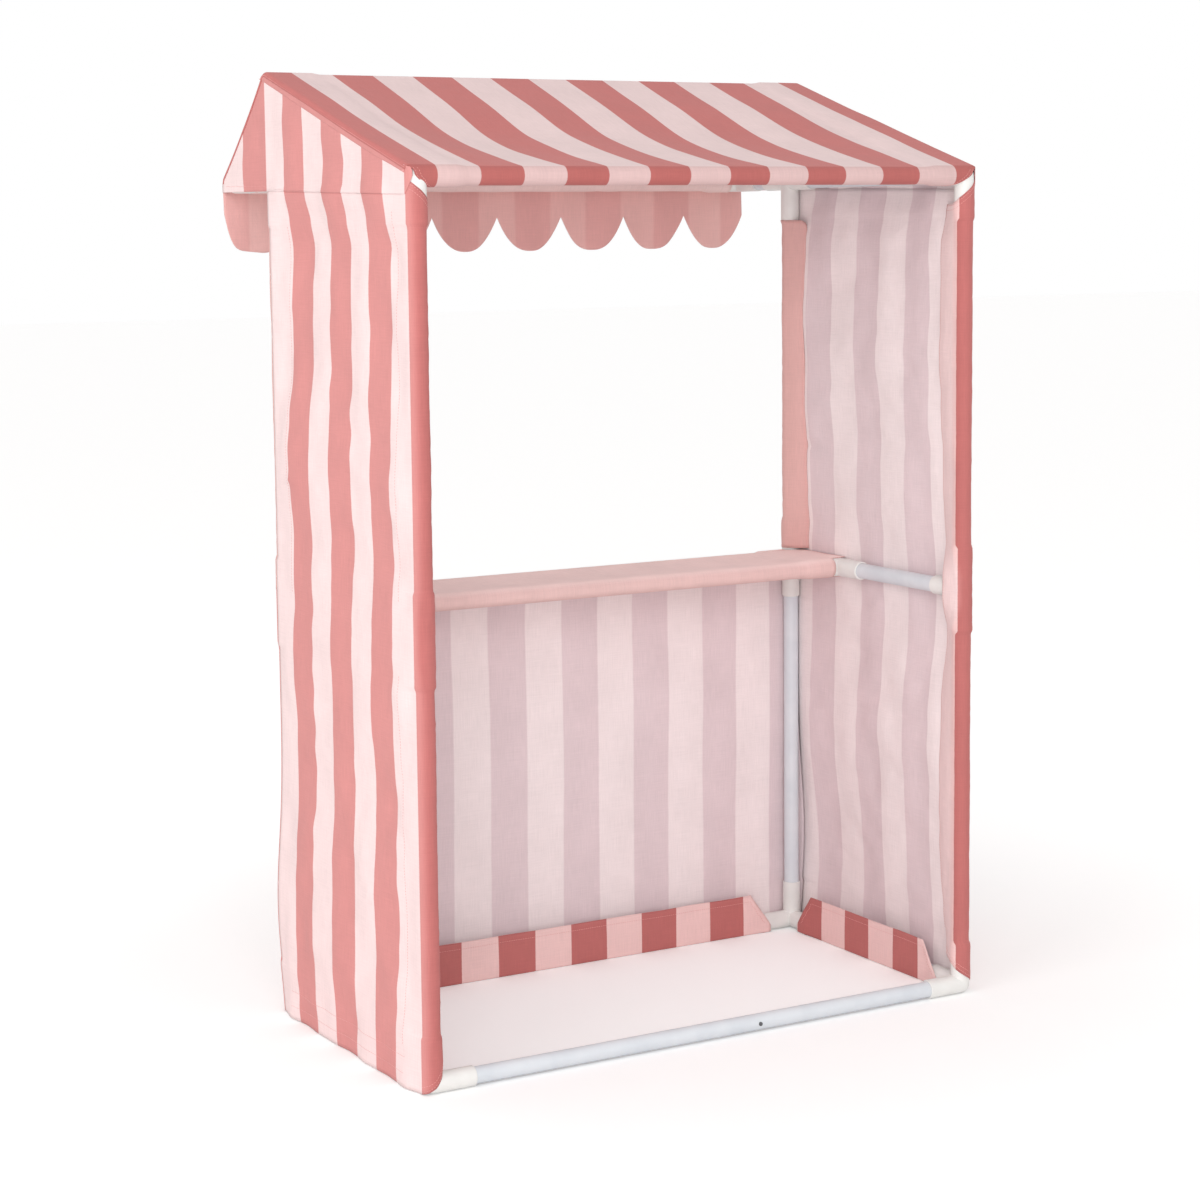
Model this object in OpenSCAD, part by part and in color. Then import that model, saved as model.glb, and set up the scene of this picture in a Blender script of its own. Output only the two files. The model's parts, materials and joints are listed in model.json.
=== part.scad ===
// Child's play market stall: a push-fit tube frame under a striped cloth cover.
// Millimetres, +Z up, +Y towards the customers, -Y the open side for the shopkeeper.
// The origin is on the ground, below the middle of the whole outline.

/* [Frame] */
// Width between the post axes
post_span = 930; // [700:5:1300]
// Depth between the rear and front post axes
post_depth = 472.5; // [360:0.5:700]
// How far the front rail stands out from the front posts, axis to axis
overhang = 160; // [135:5:260]
// Height of the eave tubes' axes above the ground
eave_h = 1280; // [1000:5:1600]
// Height of the ridge tube's axis above the eave tubes' axes
ridge_rise = 147; // [135:1:260]
// Height of the counter tubes' axes above the ground
counter_h = 643; // [450:1:800]
// Depth of the counter between the axes of its two tubes
counter_depth = 143; // [135:1:220]

/* [Tubes and connectors] */
// Outside diameter of every tube
tube_d = 25; // [18:0.5:32]
// Wall of the connector arms around their sockets
socket_wall = 2.3; // [1.5:0.1:4]
// Clearance between a tube and its socket, on the radius
socket_fit = 0.2; // [0.1:0.05:0.4]
// Length of every connector arm from the point where the axes meet
arm_len = 65; // [45:1:66]
// Distance from that point to the floor of each socket
socket_stop = 20; // [20:0.5:28]
// Gap between a tube's end and the socket floor it seats on
seat_gap = 0.3; // [0.1:0.1:1]
// Chamfer around the mouth of each connector arm
mouth_chamfer = 0.8; // [0.2:0.1:1.4]
// How far the ball at the heart of a connector lies below its arms
hub_relief = 0.3; // [0.2:0.1:1]
// Depth of the flat that the bottom connectors stand on
foot_flat = 0.5; // [0.3:0.1:1]

/* [Spring button in the rear bottom tube] */
// Distance of the button from the middle of the tube, towards +X
button_x = 80; // [-300:5:300]
// Diameter of the button
button_d = 6; // [4:0.5:8]
// How far the button stands out of the tube
button_out = 1; // [0.5:0.1:2]
// Depth of the button's hole in the tube
button_hole = 3; // [2:0.5:5]
// Clearance around the button, on the radius
button_fit = 0.2; // [0.1:0.05:0.4]

/* [Cloth] */
// Thickness of the cloth
cloth_t = 1.2; // [0.8:0.1:2]
// Clearance between the cloth and the widest thing under it
cloth_gap = 0.3; // [0.2:0.1:1]
// How far the gable cloth hangs below the eave axes, down to its seam
gable_drop = 19; // [16:1:40]
// Length of the front valance below the rail's axis, to the tips of its scallops
valance_drop = 112; // [80:1:160]
// Height of one scallop, from its cusps to its tip
scallop_h = 56; // [30:1:70]
// Number of scallops along the valance
scallops = 8; // [4:1:12]
// Roundness of a scallop: 2 is an ellipse, more is squarer
scallop_power = 2.6; // [2:0.1:4]
// Distance that the rear eave wrap stops short of the post axes
wrap_inset = 20; // [18:1:60]
// Height of the lower end of the rear post sleeves
sleeve_low = 52; // [40:1:90]
// Distance of the upper end of the rear post sleeves below the eave axes
sleeve_drop = 36; // [34:1:80]
// Distance from the post axes to where the sleeve flaps are sewn to the walls
flap_reach = 45; // [36:1:80]
// Height of the lower end of the front post sleeves above the counter axes
front_sleeve_rise = 19; // [17:1:60]
// Height of the hem flaps above the bottom tubes' axes
hem_flap_h = 55; // [35:1:90]
// Distance that the hem flaps stop short of the post axes
hem_inset = 45; // [20:1:90]
// How much shorter each end of a hem flap is at its top edge
hem_slant = 38; // [0:1:60]

/* [Hidden] */
$fn = 64;

// Gap between the gable's upper edge and the roof cloth over it
SEAM_GAP = 0.05;

// Directions, as the turn that brings +Z onto them
UP = [0, 0, 0];
DOWN = [180, 0, 0];
FRONT = [-90, 0, 0];
REAR = [90, 0, 0];
RIGHT = [0, 90, 0];
LEFT = [0, -90, 0];

tube_r = tube_d / 2;
bore_r = tube_r + socket_fit;
arm_r = bore_r + socket_wall;
skin_in = arm_r + cloth_gap;
skin_out = skin_in + cloth_t;

// Places of the frame's axes
post_x = post_span / 2;
rear_y = -(post_depth + overhang) / 2;
front_y = rear_y + post_depth;
over_y = front_y + overhang;
inner_y = front_y - counter_depth;
base_z = arm_r - foot_flat;
ridge_z = eave_h + ridge_rise;

// Roof slopes, in the section seen from +X
rear_pitch = atan(ridge_rise / post_depth);
front_pitch = atan(ridge_rise / overhang);
eave_axis = [rear_y, eave_h];
ridge_axis = [front_y, ridge_z];
rail_axis = [over_y, eave_h];
// Angle, round the rear eave tube, at which the roof's hem ends inside
wrap_end = 375;

// Straight steps in a bend of the roof cloth, and in a sleeve
BEND_STEPS = 16;
POCKET_STEPS = 32;

cloth_w = 2 * (post_x + skin_out);
hem_low = base_z - tube_r - cloth_gap - cloth_t;
front_sleeve_low = counter_h + front_sleeve_rise;
// Height over which the rounded counter cover still lies in the plane of the front panel
cover_dip = sqrt(skin_out * skin_out - skin_in * skin_in);

TUBE = "whitesmoke";
PLASTIC = "white";
DARK_STRIPE = "indianred";
LIGHT_STRIPE = "mistyrose";
PINK = "lightpink";

// The point at a distance and an angle
function polar(r, a) = [r * cos(a), r * sin(a)];

// Arc points from one angle to another
function arc(r, a0, a1, steps) = [for (i = [0 : steps]) polar(r, a0 + (a1 - a0) * i / steps)];

// A piece on the left, at -X, and its mirror image on the right
module both_sides() {
    children();
    mirror([1, 0, 0]) children();
}

// A section drawn in Y and Z, made into a piece that is centred on X = 0
module across(width) {
    rotate([90, 0, 90]) linear_extrude(width, center = true) children();
}

// A tube from the connector at one place to the next, a given distance away
module tube(at, turn, span) {
    end_gap = socket_stop + seat_gap;
    translate(at) rotate(turn) translate([0, 0, end_gap]) cylinder(r = tube_r, h = span - 2 * end_gap);
}

module arm() {
    cylinder(r = arm_r, h = arm_len - mouth_chamfer);
    translate([0, 0, arm_len - mouth_chamfer])
        cylinder(r1 = arm_r, r2 = arm_r - mouth_chamfer, h = mouth_chamfer);
}

module socket() {
    translate([0, 0, socket_stop]) cylinder(r = bore_r, h = arm_len);
}

// A moulded connector with one socketed arm in each direction
module connector(at, arms) {
    translate(at) difference() {
        union() {
            sphere(r = arm_r - hub_relief);
            for (turn = arms) rotate(turn) arm();
        }
        for (turn = arms) rotate(turn) socket();
    }
}

// A bottom connector, flattened where it stands on the ground
module standing_connector(at, arms) {
    reach = 2 * arm_len;
    difference() {
        connector(at, arms);
        translate([at[0] - reach, at[1] - reach, -reach]) cube([2 * reach, 2 * reach, reach]);
    }
}

// ---- Tubes ----

module rear_bottom_tube() {
    color(TUBE) difference() {
        tube([-post_x, rear_y, base_z], RIGHT, post_span);
        translate([button_x, rear_y - tube_r + button_hole, base_z]) rotate(REAR)
            cylinder(d = button_d + 2 * button_fit, h = 2 * button_hole);
    }
}

module front_bottom_tube() {
    color(TUBE) tube([-post_x, front_y, base_z], RIGHT, post_span);
}

module side_bottom_tubes() {
    color(TUBE) both_sides() tube([-post_x, rear_y, base_z], FRONT, post_depth);
}

module rear_lower_posts() {
    color(TUBE) both_sides() tube([-post_x, rear_y, base_z], UP, counter_h - base_z);
}

module rear_upper_posts() {
    color(TUBE) both_sides() tube([-post_x, rear_y, counter_h], UP, eave_h - counter_h);
}

module front_lower_posts() {
    color(TUBE) both_sides() tube([-post_x, front_y, base_z], UP, counter_h - base_z);
}

module front_upper_posts() {
    color(TUBE) both_sides() tube([-post_x, front_y, counter_h], UP, eave_h - counter_h);
}

module counter_front_tube() {
    color(TUBE) tube([-post_x, front_y, counter_h], RIGHT, post_span);
}

module counter_inner_tube() {
    color(TUBE) tube([-post_x, inner_y, counter_h], RIGHT, post_span);
}

module counter_side_tubes() {
    color(TUBE) both_sides() tube([-post_x, rear_y, counter_h], FRONT, post_depth - counter_depth);
}

module counter_short_tubes() {
    color(TUBE) both_sides() tube([-post_x, inner_y, counter_h], FRONT, counter_depth);
}

module rear_eave_tube() {
    color(TUBE) tube([-post_x, rear_y, eave_h], RIGHT, post_span);
}

module side_eave_tubes() {
    color(TUBE) both_sides() tube([-post_x, rear_y, eave_h], FRONT, post_depth);
}

module overhang_side_tubes() {
    color(TUBE) both_sides() tube([-post_x, front_y, eave_h], FRONT, overhang);
}

module overhang_front_tube() {
    color(TUBE) tube([-post_x, over_y, eave_h], RIGHT, post_span);
}

module ridge_risers() {
    color(TUBE) both_sides() tube([-post_x, front_y, eave_h], UP, ridge_rise);
}

module ridge_tube() {
    color(TUBE) tube([-post_x, front_y, ridge_z], RIGHT, post_span);
}

// ---- Connectors ----

module rear_bottom_corners() {
    color(PLASTIC) both_sides() standing_connector([-post_x, rear_y, base_z], [UP, RIGHT, FRONT]);
}

module front_bottom_corners() {
    color(PLASTIC) both_sides() standing_connector([-post_x, front_y, base_z], [UP, RIGHT, REAR]);
}

module rear_counter_tees() {
    color(PLASTIC) both_sides() connector([-post_x, rear_y, counter_h], [UP, DOWN, FRONT]);
}

module inner_counter_tees() {
    color(PLASTIC) both_sides() connector([-post_x, inner_y, counter_h], [REAR, FRONT, RIGHT]);
}

module front_counter_crosses() {
    color(PLASTIC) both_sides() connector([-post_x, front_y, counter_h], [UP, DOWN, REAR, RIGHT]);
}

module rear_eave_corners() {
    color(PLASTIC) both_sides() connector([-post_x, rear_y, eave_h], [DOWN, RIGHT, FRONT]);
}

module front_eave_crosses() {
    color(PLASTIC) both_sides() connector([-post_x, front_y, eave_h], [UP, DOWN, REAR, FRONT]);
}

module overhang_corners() {
    color(PLASTIC) both_sides() connector([-post_x, over_y, eave_h], [REAR, RIGHT]);
}

module ridge_corners() {
    color(PLASTIC) both_sides() connector([-post_x, front_y, ridge_z], [DOWN, RIGHT]);
}

// The spring button, seated on the floor of its hole
module spring_button() {
    color("dimgray") translate([button_x, rear_y - tube_r + button_hole - seat_gap, base_z]) rotate(REAR)
        cylinder(d = button_d, h = button_hole - seat_gap + button_out);
}

// ---- Roof ----

// A strip of cloth that bends around one axis after another: each bend is [centre, first angle, last angle]
module cloth_path(bends) {
    outer = [for (b = bends) for (p = arc(skin_out, b[1], b[2], BEND_STEPS)) b[0] + p];
    inner = [for (b = bends) for (p = arc(skin_in, b[1], b[2], BEND_STEPS)) b[0] + p];
    last = len(inner) - 1;
    polygon(concat(outer, [for (i = [0 : last]) inner[last - i]]));
}

// The long slope, from above the rear eave tube to the ridge
module roof_rear_slope() {
    normal = 90 + rear_pitch;
    color(DARK_STRIPE) across(cloth_w)
        cloth_path([[eave_axis, normal, normal], [ridge_axis, normal, normal]]);
}

// The end of the roof cloth, wrapped round the rear eave tube from behind
module roof_eave_wrap() {
    color(DARK_STRIPE) across(2 * (post_x - wrap_inset))
        cloth_path([[eave_axis, 90 + rear_pitch, wrap_end]]);
}

// The short slope, from the bend over the ridge to the bend over the front rail
module roof_front_slope() {
    color(LIGHT_STRIPE) across(cloth_w) cloth_path([
        [ridge_axis, 90 + rear_pitch, 90 - front_pitch],
        [rail_axis, 90 - front_pitch, 0]
    ]);
}

// One scallop's lower edge, from cusp to cusp, as a superellipse
function scallop_edge(x0, width, steps) = [
    for (i = [0 : steps])
        let (u = -cos(180 * i / steps))
        [x0 + width * (1 + u) / 2,
         -valance_drop + scallop_h * (1 - pow(1 - pow(abs(u), scallop_power), 1 / scallop_power))]
];

module valance() {
    pitch = cloth_w / scallops;
    edge = [for (i = [0 : scallops - 1]) each scallop_edge(-cloth_w / 2 + i * pitch, pitch, 16)];
    color(PINK) translate([0, over_y + skin_out, eave_h]) rotate([90, 0, 0])
        linear_extrude(cloth_t) polygon(concat([[cloth_w / 2, 0], [-cloth_w / 2, 0]], edge));
}

// The gable cloth on the left, from the seam at the eaves up to just under the roof cloth
module gable() {
    seam_z = eave_h - gable_drop;
    edge_r = skin_in - SEAM_GAP;
    outline = concat(
        [[rear_y, seam_z], [rear_y, eave_h + edge_r / cos(rear_pitch)]],
        [for (p = arc(edge_r, 90 + rear_pitch, 90 - front_pitch, BEND_STEPS)) ridge_axis + p],
        [for (p = arc(edge_r, 90 - front_pitch, 0, BEND_STEPS)) rail_axis + p],
        [[over_y + edge_r, seam_z]]
    );
    translate([-post_x - skin_in - cloth_t / 2, 0, 0]) across(cloth_t) polygon(outline);
}

module gable_left() {
    color(LIGHT_STRIPE) gable();
}

module gable_right() {
    color(LIGHT_STRIPE) mirror([1, 0, 0]) gable();
}

// ---- Walls ----

// The wall cloth on the left, between the post axes
module wall() {
    translate([-post_x - skin_out, rear_y, hem_low])
        cube([cloth_t, post_depth, eave_h - gable_drop - hem_low]);
}

module wall_left() {
    color(DARK_STRIPE) wall();
}

module wall_right() {
    color(DARK_STRIPE) mirror([1, 0, 0]) wall();
}

// The outline, in plan, of a pocket that goes round a post of the left wall and back to the wall.
// The wall's face is on the left, and the flap runs towards +Y.
function pocket_outline(r, reach) =
    let (flap_angle = 180 - 2 * atan(reach / r))
    concat(arc(r, 180, 360 + flap_angle, POCKET_STEPS), [[-r, reach]]);

module pocket_section() {
    difference() {
        polygon(pocket_outline(skin_out, flap_reach));
        polygon(pocket_outline(skin_in, flap_reach - 2 * cloth_t));
        translate([-2 * skin_out, 0]) square([2 * skin_out - skin_in, 2 * flap_reach]);
    }
}

// The sleeve of a rear post, slotted where the counter's side tube passes
module rear_sleeve() {
    difference() {
        translate([-post_x, rear_y, sleeve_low])
            linear_extrude(eave_h - sleeve_drop - sleeve_low) pocket_section();
        translate([-post_x - 2 * skin_out, rear_y, counter_h - skin_in])
            cube([4 * skin_out, 2 * flap_reach, 2 * skin_in]);
    }
}

module rear_sleeve_left() {
    color(DARK_STRIPE) rear_sleeve();
}

module rear_sleeve_right() {
    color(DARK_STRIPE) mirror([1, 0, 0]) rear_sleeve();
}

// The sleeve of a front post, from the counter up to the mouth of the eave connector
module front_sleeve() {
    translate([-post_x, front_y, front_sleeve_low])
        linear_extrude(eave_h - arm_len - front_sleeve_low) mirror([0, 1]) pocket_section();
}

module front_sleeve_left() {
    color(PINK) front_sleeve();
}

module front_sleeve_right() {
    color(PINK) mirror([1, 0, 0]) front_sleeve();
}

// The cloth below the counter, with the corners that go round the front posts
module front_panel() {
    panel_top = counter_h - cover_dip;
    color(LIGHT_STRIPE) {
        translate([-post_x, front_y + skin_in, hem_low]) cube([post_span, cloth_t, panel_top - hem_low]);
        both_sides() translate([-post_x, front_y, hem_low])
            linear_extrude(front_sleeve_low - hem_low) cloth_path([[[0, 0], 90, 180]]);
    }
}

// The counter: a loop of cloth around its two tubes
module counter_cover() {
    color(PINK) across(2 * (post_x - skin_out)) translate([inner_y, counter_h]) difference() {
        counter_outline(skin_out);
        counter_outline(skin_in);
    }
}

module counter_outline(r) {
    circle(r = r);
    translate([counter_depth, 0]) circle(r = r);
    translate([0, -r]) square([counter_depth, 2 * r]);
}

// A hem, drawn along +X around a tube whose axis is on X, with the wall at -Y.
// A strip runs below the tube between its connectors, and a flap stands inside, at +Y.
module hem(span) {
    strip_half = span / 2 - arm_len - cloth_gap;
    flap_half = span / 2 - hem_inset;
    flap_top = base_z + hem_flap_h;
    translate([-strip_half, -skin_in, hem_low]) cube([2 * strip_half, skin_in + skin_out, cloth_t]);
    translate([0, skin_out, 0]) rotate([90, 0, 0]) linear_extrude(cloth_t) polygon([
        [-flap_half, hem_low], [flap_half, hem_low], [flap_half, base_z],
        [flap_half - hem_slant, flap_top], [hem_slant - flap_half, flap_top], [-flap_half, base_z]
    ]);
}

module front_hem() {
    color(DARK_STRIPE) translate([0, front_y, 0]) rotate([0, 0, 180]) hem(post_span);
}

module side_hem() {
    translate([-post_x, rear_y + post_depth / 2, 0]) rotate([0, 0, -90]) hem(post_depth);
}

module side_hem_left() {
    color(DARK_STRIPE) side_hem();
}

module side_hem_right() {
    color(DARK_STRIPE) mirror([1, 0, 0]) side_hem();
}

rear_bottom_tube();
front_bottom_tube();
side_bottom_tubes();
rear_lower_posts();
rear_upper_posts();
front_lower_posts();
front_upper_posts();
counter_front_tube();
counter_inner_tube();
counter_side_tubes();
counter_short_tubes();
rear_eave_tube();
side_eave_tubes();
overhang_side_tubes();
overhang_front_tube();
ridge_risers();
ridge_tube();
rear_bottom_corners();
front_bottom_corners();
rear_counter_tees();
inner_counter_tees();
front_counter_crosses();
rear_eave_corners();
front_eave_crosses();
overhang_corners();
ridge_corners();
spring_button();
roof_rear_slope();
roof_eave_wrap();
roof_front_slope();
valance();
gable_left();
gable_right();
wall_left();
wall_right();
rear_sleeve_left();
rear_sleeve_right();
front_sleeve_left();
front_sleeve_right();
front_panel();
counter_cover();
front_hem();
side_hem_left();
side_hem_right();
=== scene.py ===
"""A child's play market stall: its sewn cloth cover, the sewing on it, and the finish of its frame.

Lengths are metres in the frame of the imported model. +Y points towards the customers, and every place is
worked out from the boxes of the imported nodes.
"""

import json
import logging
import math
from dataclasses import dataclass, replace
from enum import Enum
from typing import Any, Mapping, Optional, Sequence

import bpy
import numpy as np
from mathutils import Euler, Matrix, Vector


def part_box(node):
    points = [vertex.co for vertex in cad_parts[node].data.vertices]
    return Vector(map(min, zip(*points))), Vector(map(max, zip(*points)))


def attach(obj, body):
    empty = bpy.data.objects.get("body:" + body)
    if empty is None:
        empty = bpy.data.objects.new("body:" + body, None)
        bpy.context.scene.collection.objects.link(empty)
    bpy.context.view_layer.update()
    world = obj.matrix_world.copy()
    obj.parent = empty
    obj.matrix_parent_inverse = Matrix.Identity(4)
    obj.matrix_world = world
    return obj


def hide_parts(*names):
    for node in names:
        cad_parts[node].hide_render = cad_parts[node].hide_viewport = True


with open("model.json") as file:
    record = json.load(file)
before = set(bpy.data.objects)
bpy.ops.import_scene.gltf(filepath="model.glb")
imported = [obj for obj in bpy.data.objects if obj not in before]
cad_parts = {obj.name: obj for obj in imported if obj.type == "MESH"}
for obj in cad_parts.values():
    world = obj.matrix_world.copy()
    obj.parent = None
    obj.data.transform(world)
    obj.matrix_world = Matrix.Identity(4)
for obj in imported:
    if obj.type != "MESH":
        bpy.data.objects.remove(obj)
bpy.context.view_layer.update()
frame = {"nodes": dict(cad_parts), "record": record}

MM = 0.001
BODY = "root"
STRIPE = 67.5 * MM
CLOTH = 0.8 * MM
LOG = logging.getLogger("market_stall")
Line = tuple[np.ndarray, np.ndarray]


class Slot(str, Enum):
    """The record's material slots."""

    TUBE = "frame_tube"
    CONNECTOR = "connector"
    BUTTON = "button"
    STRIPED = "striped_cloth"
    PINK = "pink_cloth"


class Side(int, Enum):
    """The two sides of the stall, as the sign of X."""

    LEFT = -1
    RIGHT = 1


class Edge(Enum):
    """The four edges of a cut of cloth."""

    TOP = "top"
    BOTTOM = "bottom"
    START = "start"
    END = "end"


# ---- Small helpers ----


def linear(colour: str) -> tuple[float, float, float, float]:
    """Turns an sRGB hex colour into a linear one.

    Args:
        colour: Six hex digits, such as "E4E8EC".
    Returns:
        Red, green, blue and an alpha of 1.
    """
    parts = [int(colour[i:i + 2], 16) / 255 for i in (0, 2, 4)]
    parts = [c / 12.92 if c <= 0.04045 else ((c + 0.055) / 1.055) ** 2.4 for c in parts]
    return (parts[0], parts[1], parts[2], 1.0)


def smooth(t: Any) -> np.ndarray:
    """Returns t held between 0 and 1, eased at both ends."""
    t = np.clip(t, 0.0, 1.0)
    return t * t * (3 - 2 * t)


def bell(distance: Any, spread: float) -> np.ndarray:
    """Returns a bell curve that is 1 at no distance."""
    return np.exp(-((distance / spread) ** 2))


def soft_noise(u: np.ndarray, v: np.ndarray, cell_u: float, cell_v: float, seed: int) -> np.ndarray:
    """A smooth random field between -1 and 1.

    Args:
        u: First coordinate of the points.
        v: Second coordinate of the points.
        cell_u: Size of a cell of the field along u.
        cell_v: Size of a cell of the field along v.
        seed: Number that picks the field.
    Returns:
        The field at the points.
    """
    table = np.random.default_rng(seed).uniform(-1, 1, (97, 97))
    x, y = np.asarray(u) / cell_u + 31.7, np.asarray(v) / cell_v + 23.4
    column, row = np.floor(x).astype(int), np.floor(y).astype(int)
    fx, fy = smooth(x - column), smooth(y - row)

    def corner(i: int, j: int) -> np.ndarray:
        """Returns the table's value at one corner of each point's cell."""
        return table[(row + j) % 97, (column + i) % 97]

    low = corner(0, 0) * (1 - fx) + corner(1, 0) * fx
    high = corner(0, 1) * (1 - fx) + corner(1, 1) * fx
    return low * (1 - fy) + high * fy


def ripples(u: Any, v: Any, *fields: tuple[float, float, float, int]) -> np.ndarray:
    """Adds up soft random ripples.

    Args:
        u: First coordinate of the points.
        v: Second coordinate of the points.
        fields: Height of each ripple and its sizes along u and v, in millimetres, and its seed.
    Returns:
        The height at the points.
    """
    return sum(
        height * MM * soft_noise(u, v, wide * MM, tall * MM, seed) for height, wide, tall, seed in fields
    )


def profile(z: np.ndarray, knots: Sequence[tuple[float, float]]) -> np.ndarray:
    """A soft curve through a few heights.

    Args:
        z: Places along the curve.
        knots: Place and value of each knot, in millimetres, in rising order.
    Returns:
        The values at the places.
    """
    places, values = np.array(knots).T * MM
    number = np.clip(np.searchsorted(places, z) - 1, 0, len(places) - 2)
    share = smooth((z - places[number]) / (places[number + 1] - places[number]))
    return values[number] * (1 - share) + values[number + 1] * share


def add_node(
    tree: bpy.types.NodeTree,
    kind: str,
    settings: Optional[Mapping[str, Any]] = None,
    inputs: Optional[Mapping[Any, Any]] = None,
) -> bpy.types.Node:
    """Adds a node with its settings and links.

    Args:
        tree: The node tree.
        kind: The node's type.
        settings: Properties of the node, by name.
        inputs: Values or sockets for the node's inputs, by name or number.
    Returns:
        The new node.
    """
    node = tree.nodes.new(kind)
    for key, value in (settings or {}).items():
        setattr(node, key, value)
    for key, value in (inputs or {}).items():
        if isinstance(value, bpy.types.NodeSocket):
            tree.links.new(value, node.inputs[key])
        else:
            node.inputs[key].default_value = value
    return node


def add_piece(name: str, points: np.ndarray, faces: np.ndarray) -> bpy.types.Object:
    """Adds a smooth-shaded piece to the scene.

    Args:
        name: Name of the piece.
        points: Its points.
        faces: The numbers of each face's points.
    Returns:
        The piece.
    """
    mesh = bpy.data.meshes.new(name)
    mesh.from_pydata(points.reshape(-1, 3).tolist(), [], faces.tolist())
    mesh.polygons.foreach_set("use_smooth", [True] * len(faces))
    piece = bpy.data.objects.new(name, mesh)
    bpy.context.scene.collection.objects.link(piece)
    return piece


# ---- Finishes ----


@dataclass(frozen=True)
class Finish:
    """A finish with the values that are the same all over its surface."""

    name: str
    roughness: float = 0.5
    sheen: float = 0.0
    metallic: float = 0.0
    specular: float = 0.5

    def start(self) -> tuple[bpy.types.Material, bpy.types.NodeTree, bpy.types.Node]:
        """Starts the material.

        Returns:
            The material, its node tree and its shader.
        """
        material = bpy.data.materials.new(self.name)
        material.use_nodes = True
        tree = material.node_tree
        shader = tree.nodes["Principled BSDF"]
        shader.inputs["Roughness"].default_value = self.roughness
        shader.inputs["Metallic"].default_value = self.metallic
        shader.inputs["Sheen Weight"].default_value = self.sheen
        shader.inputs["Sheen Roughness"].default_value = 0.45
        shader.inputs["Specular IOR Level"].default_value = self.specular
        return material, tree, shader

    def build(self) -> bpy.types.Material:
        """Returns the material, made on the first call."""
        found = bpy.data.materials.get(self.name)
        return found if found else self.make()

    def make(self) -> bpy.types.Material:
        """Makes the material."""
        raise NotImplementedError


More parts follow.
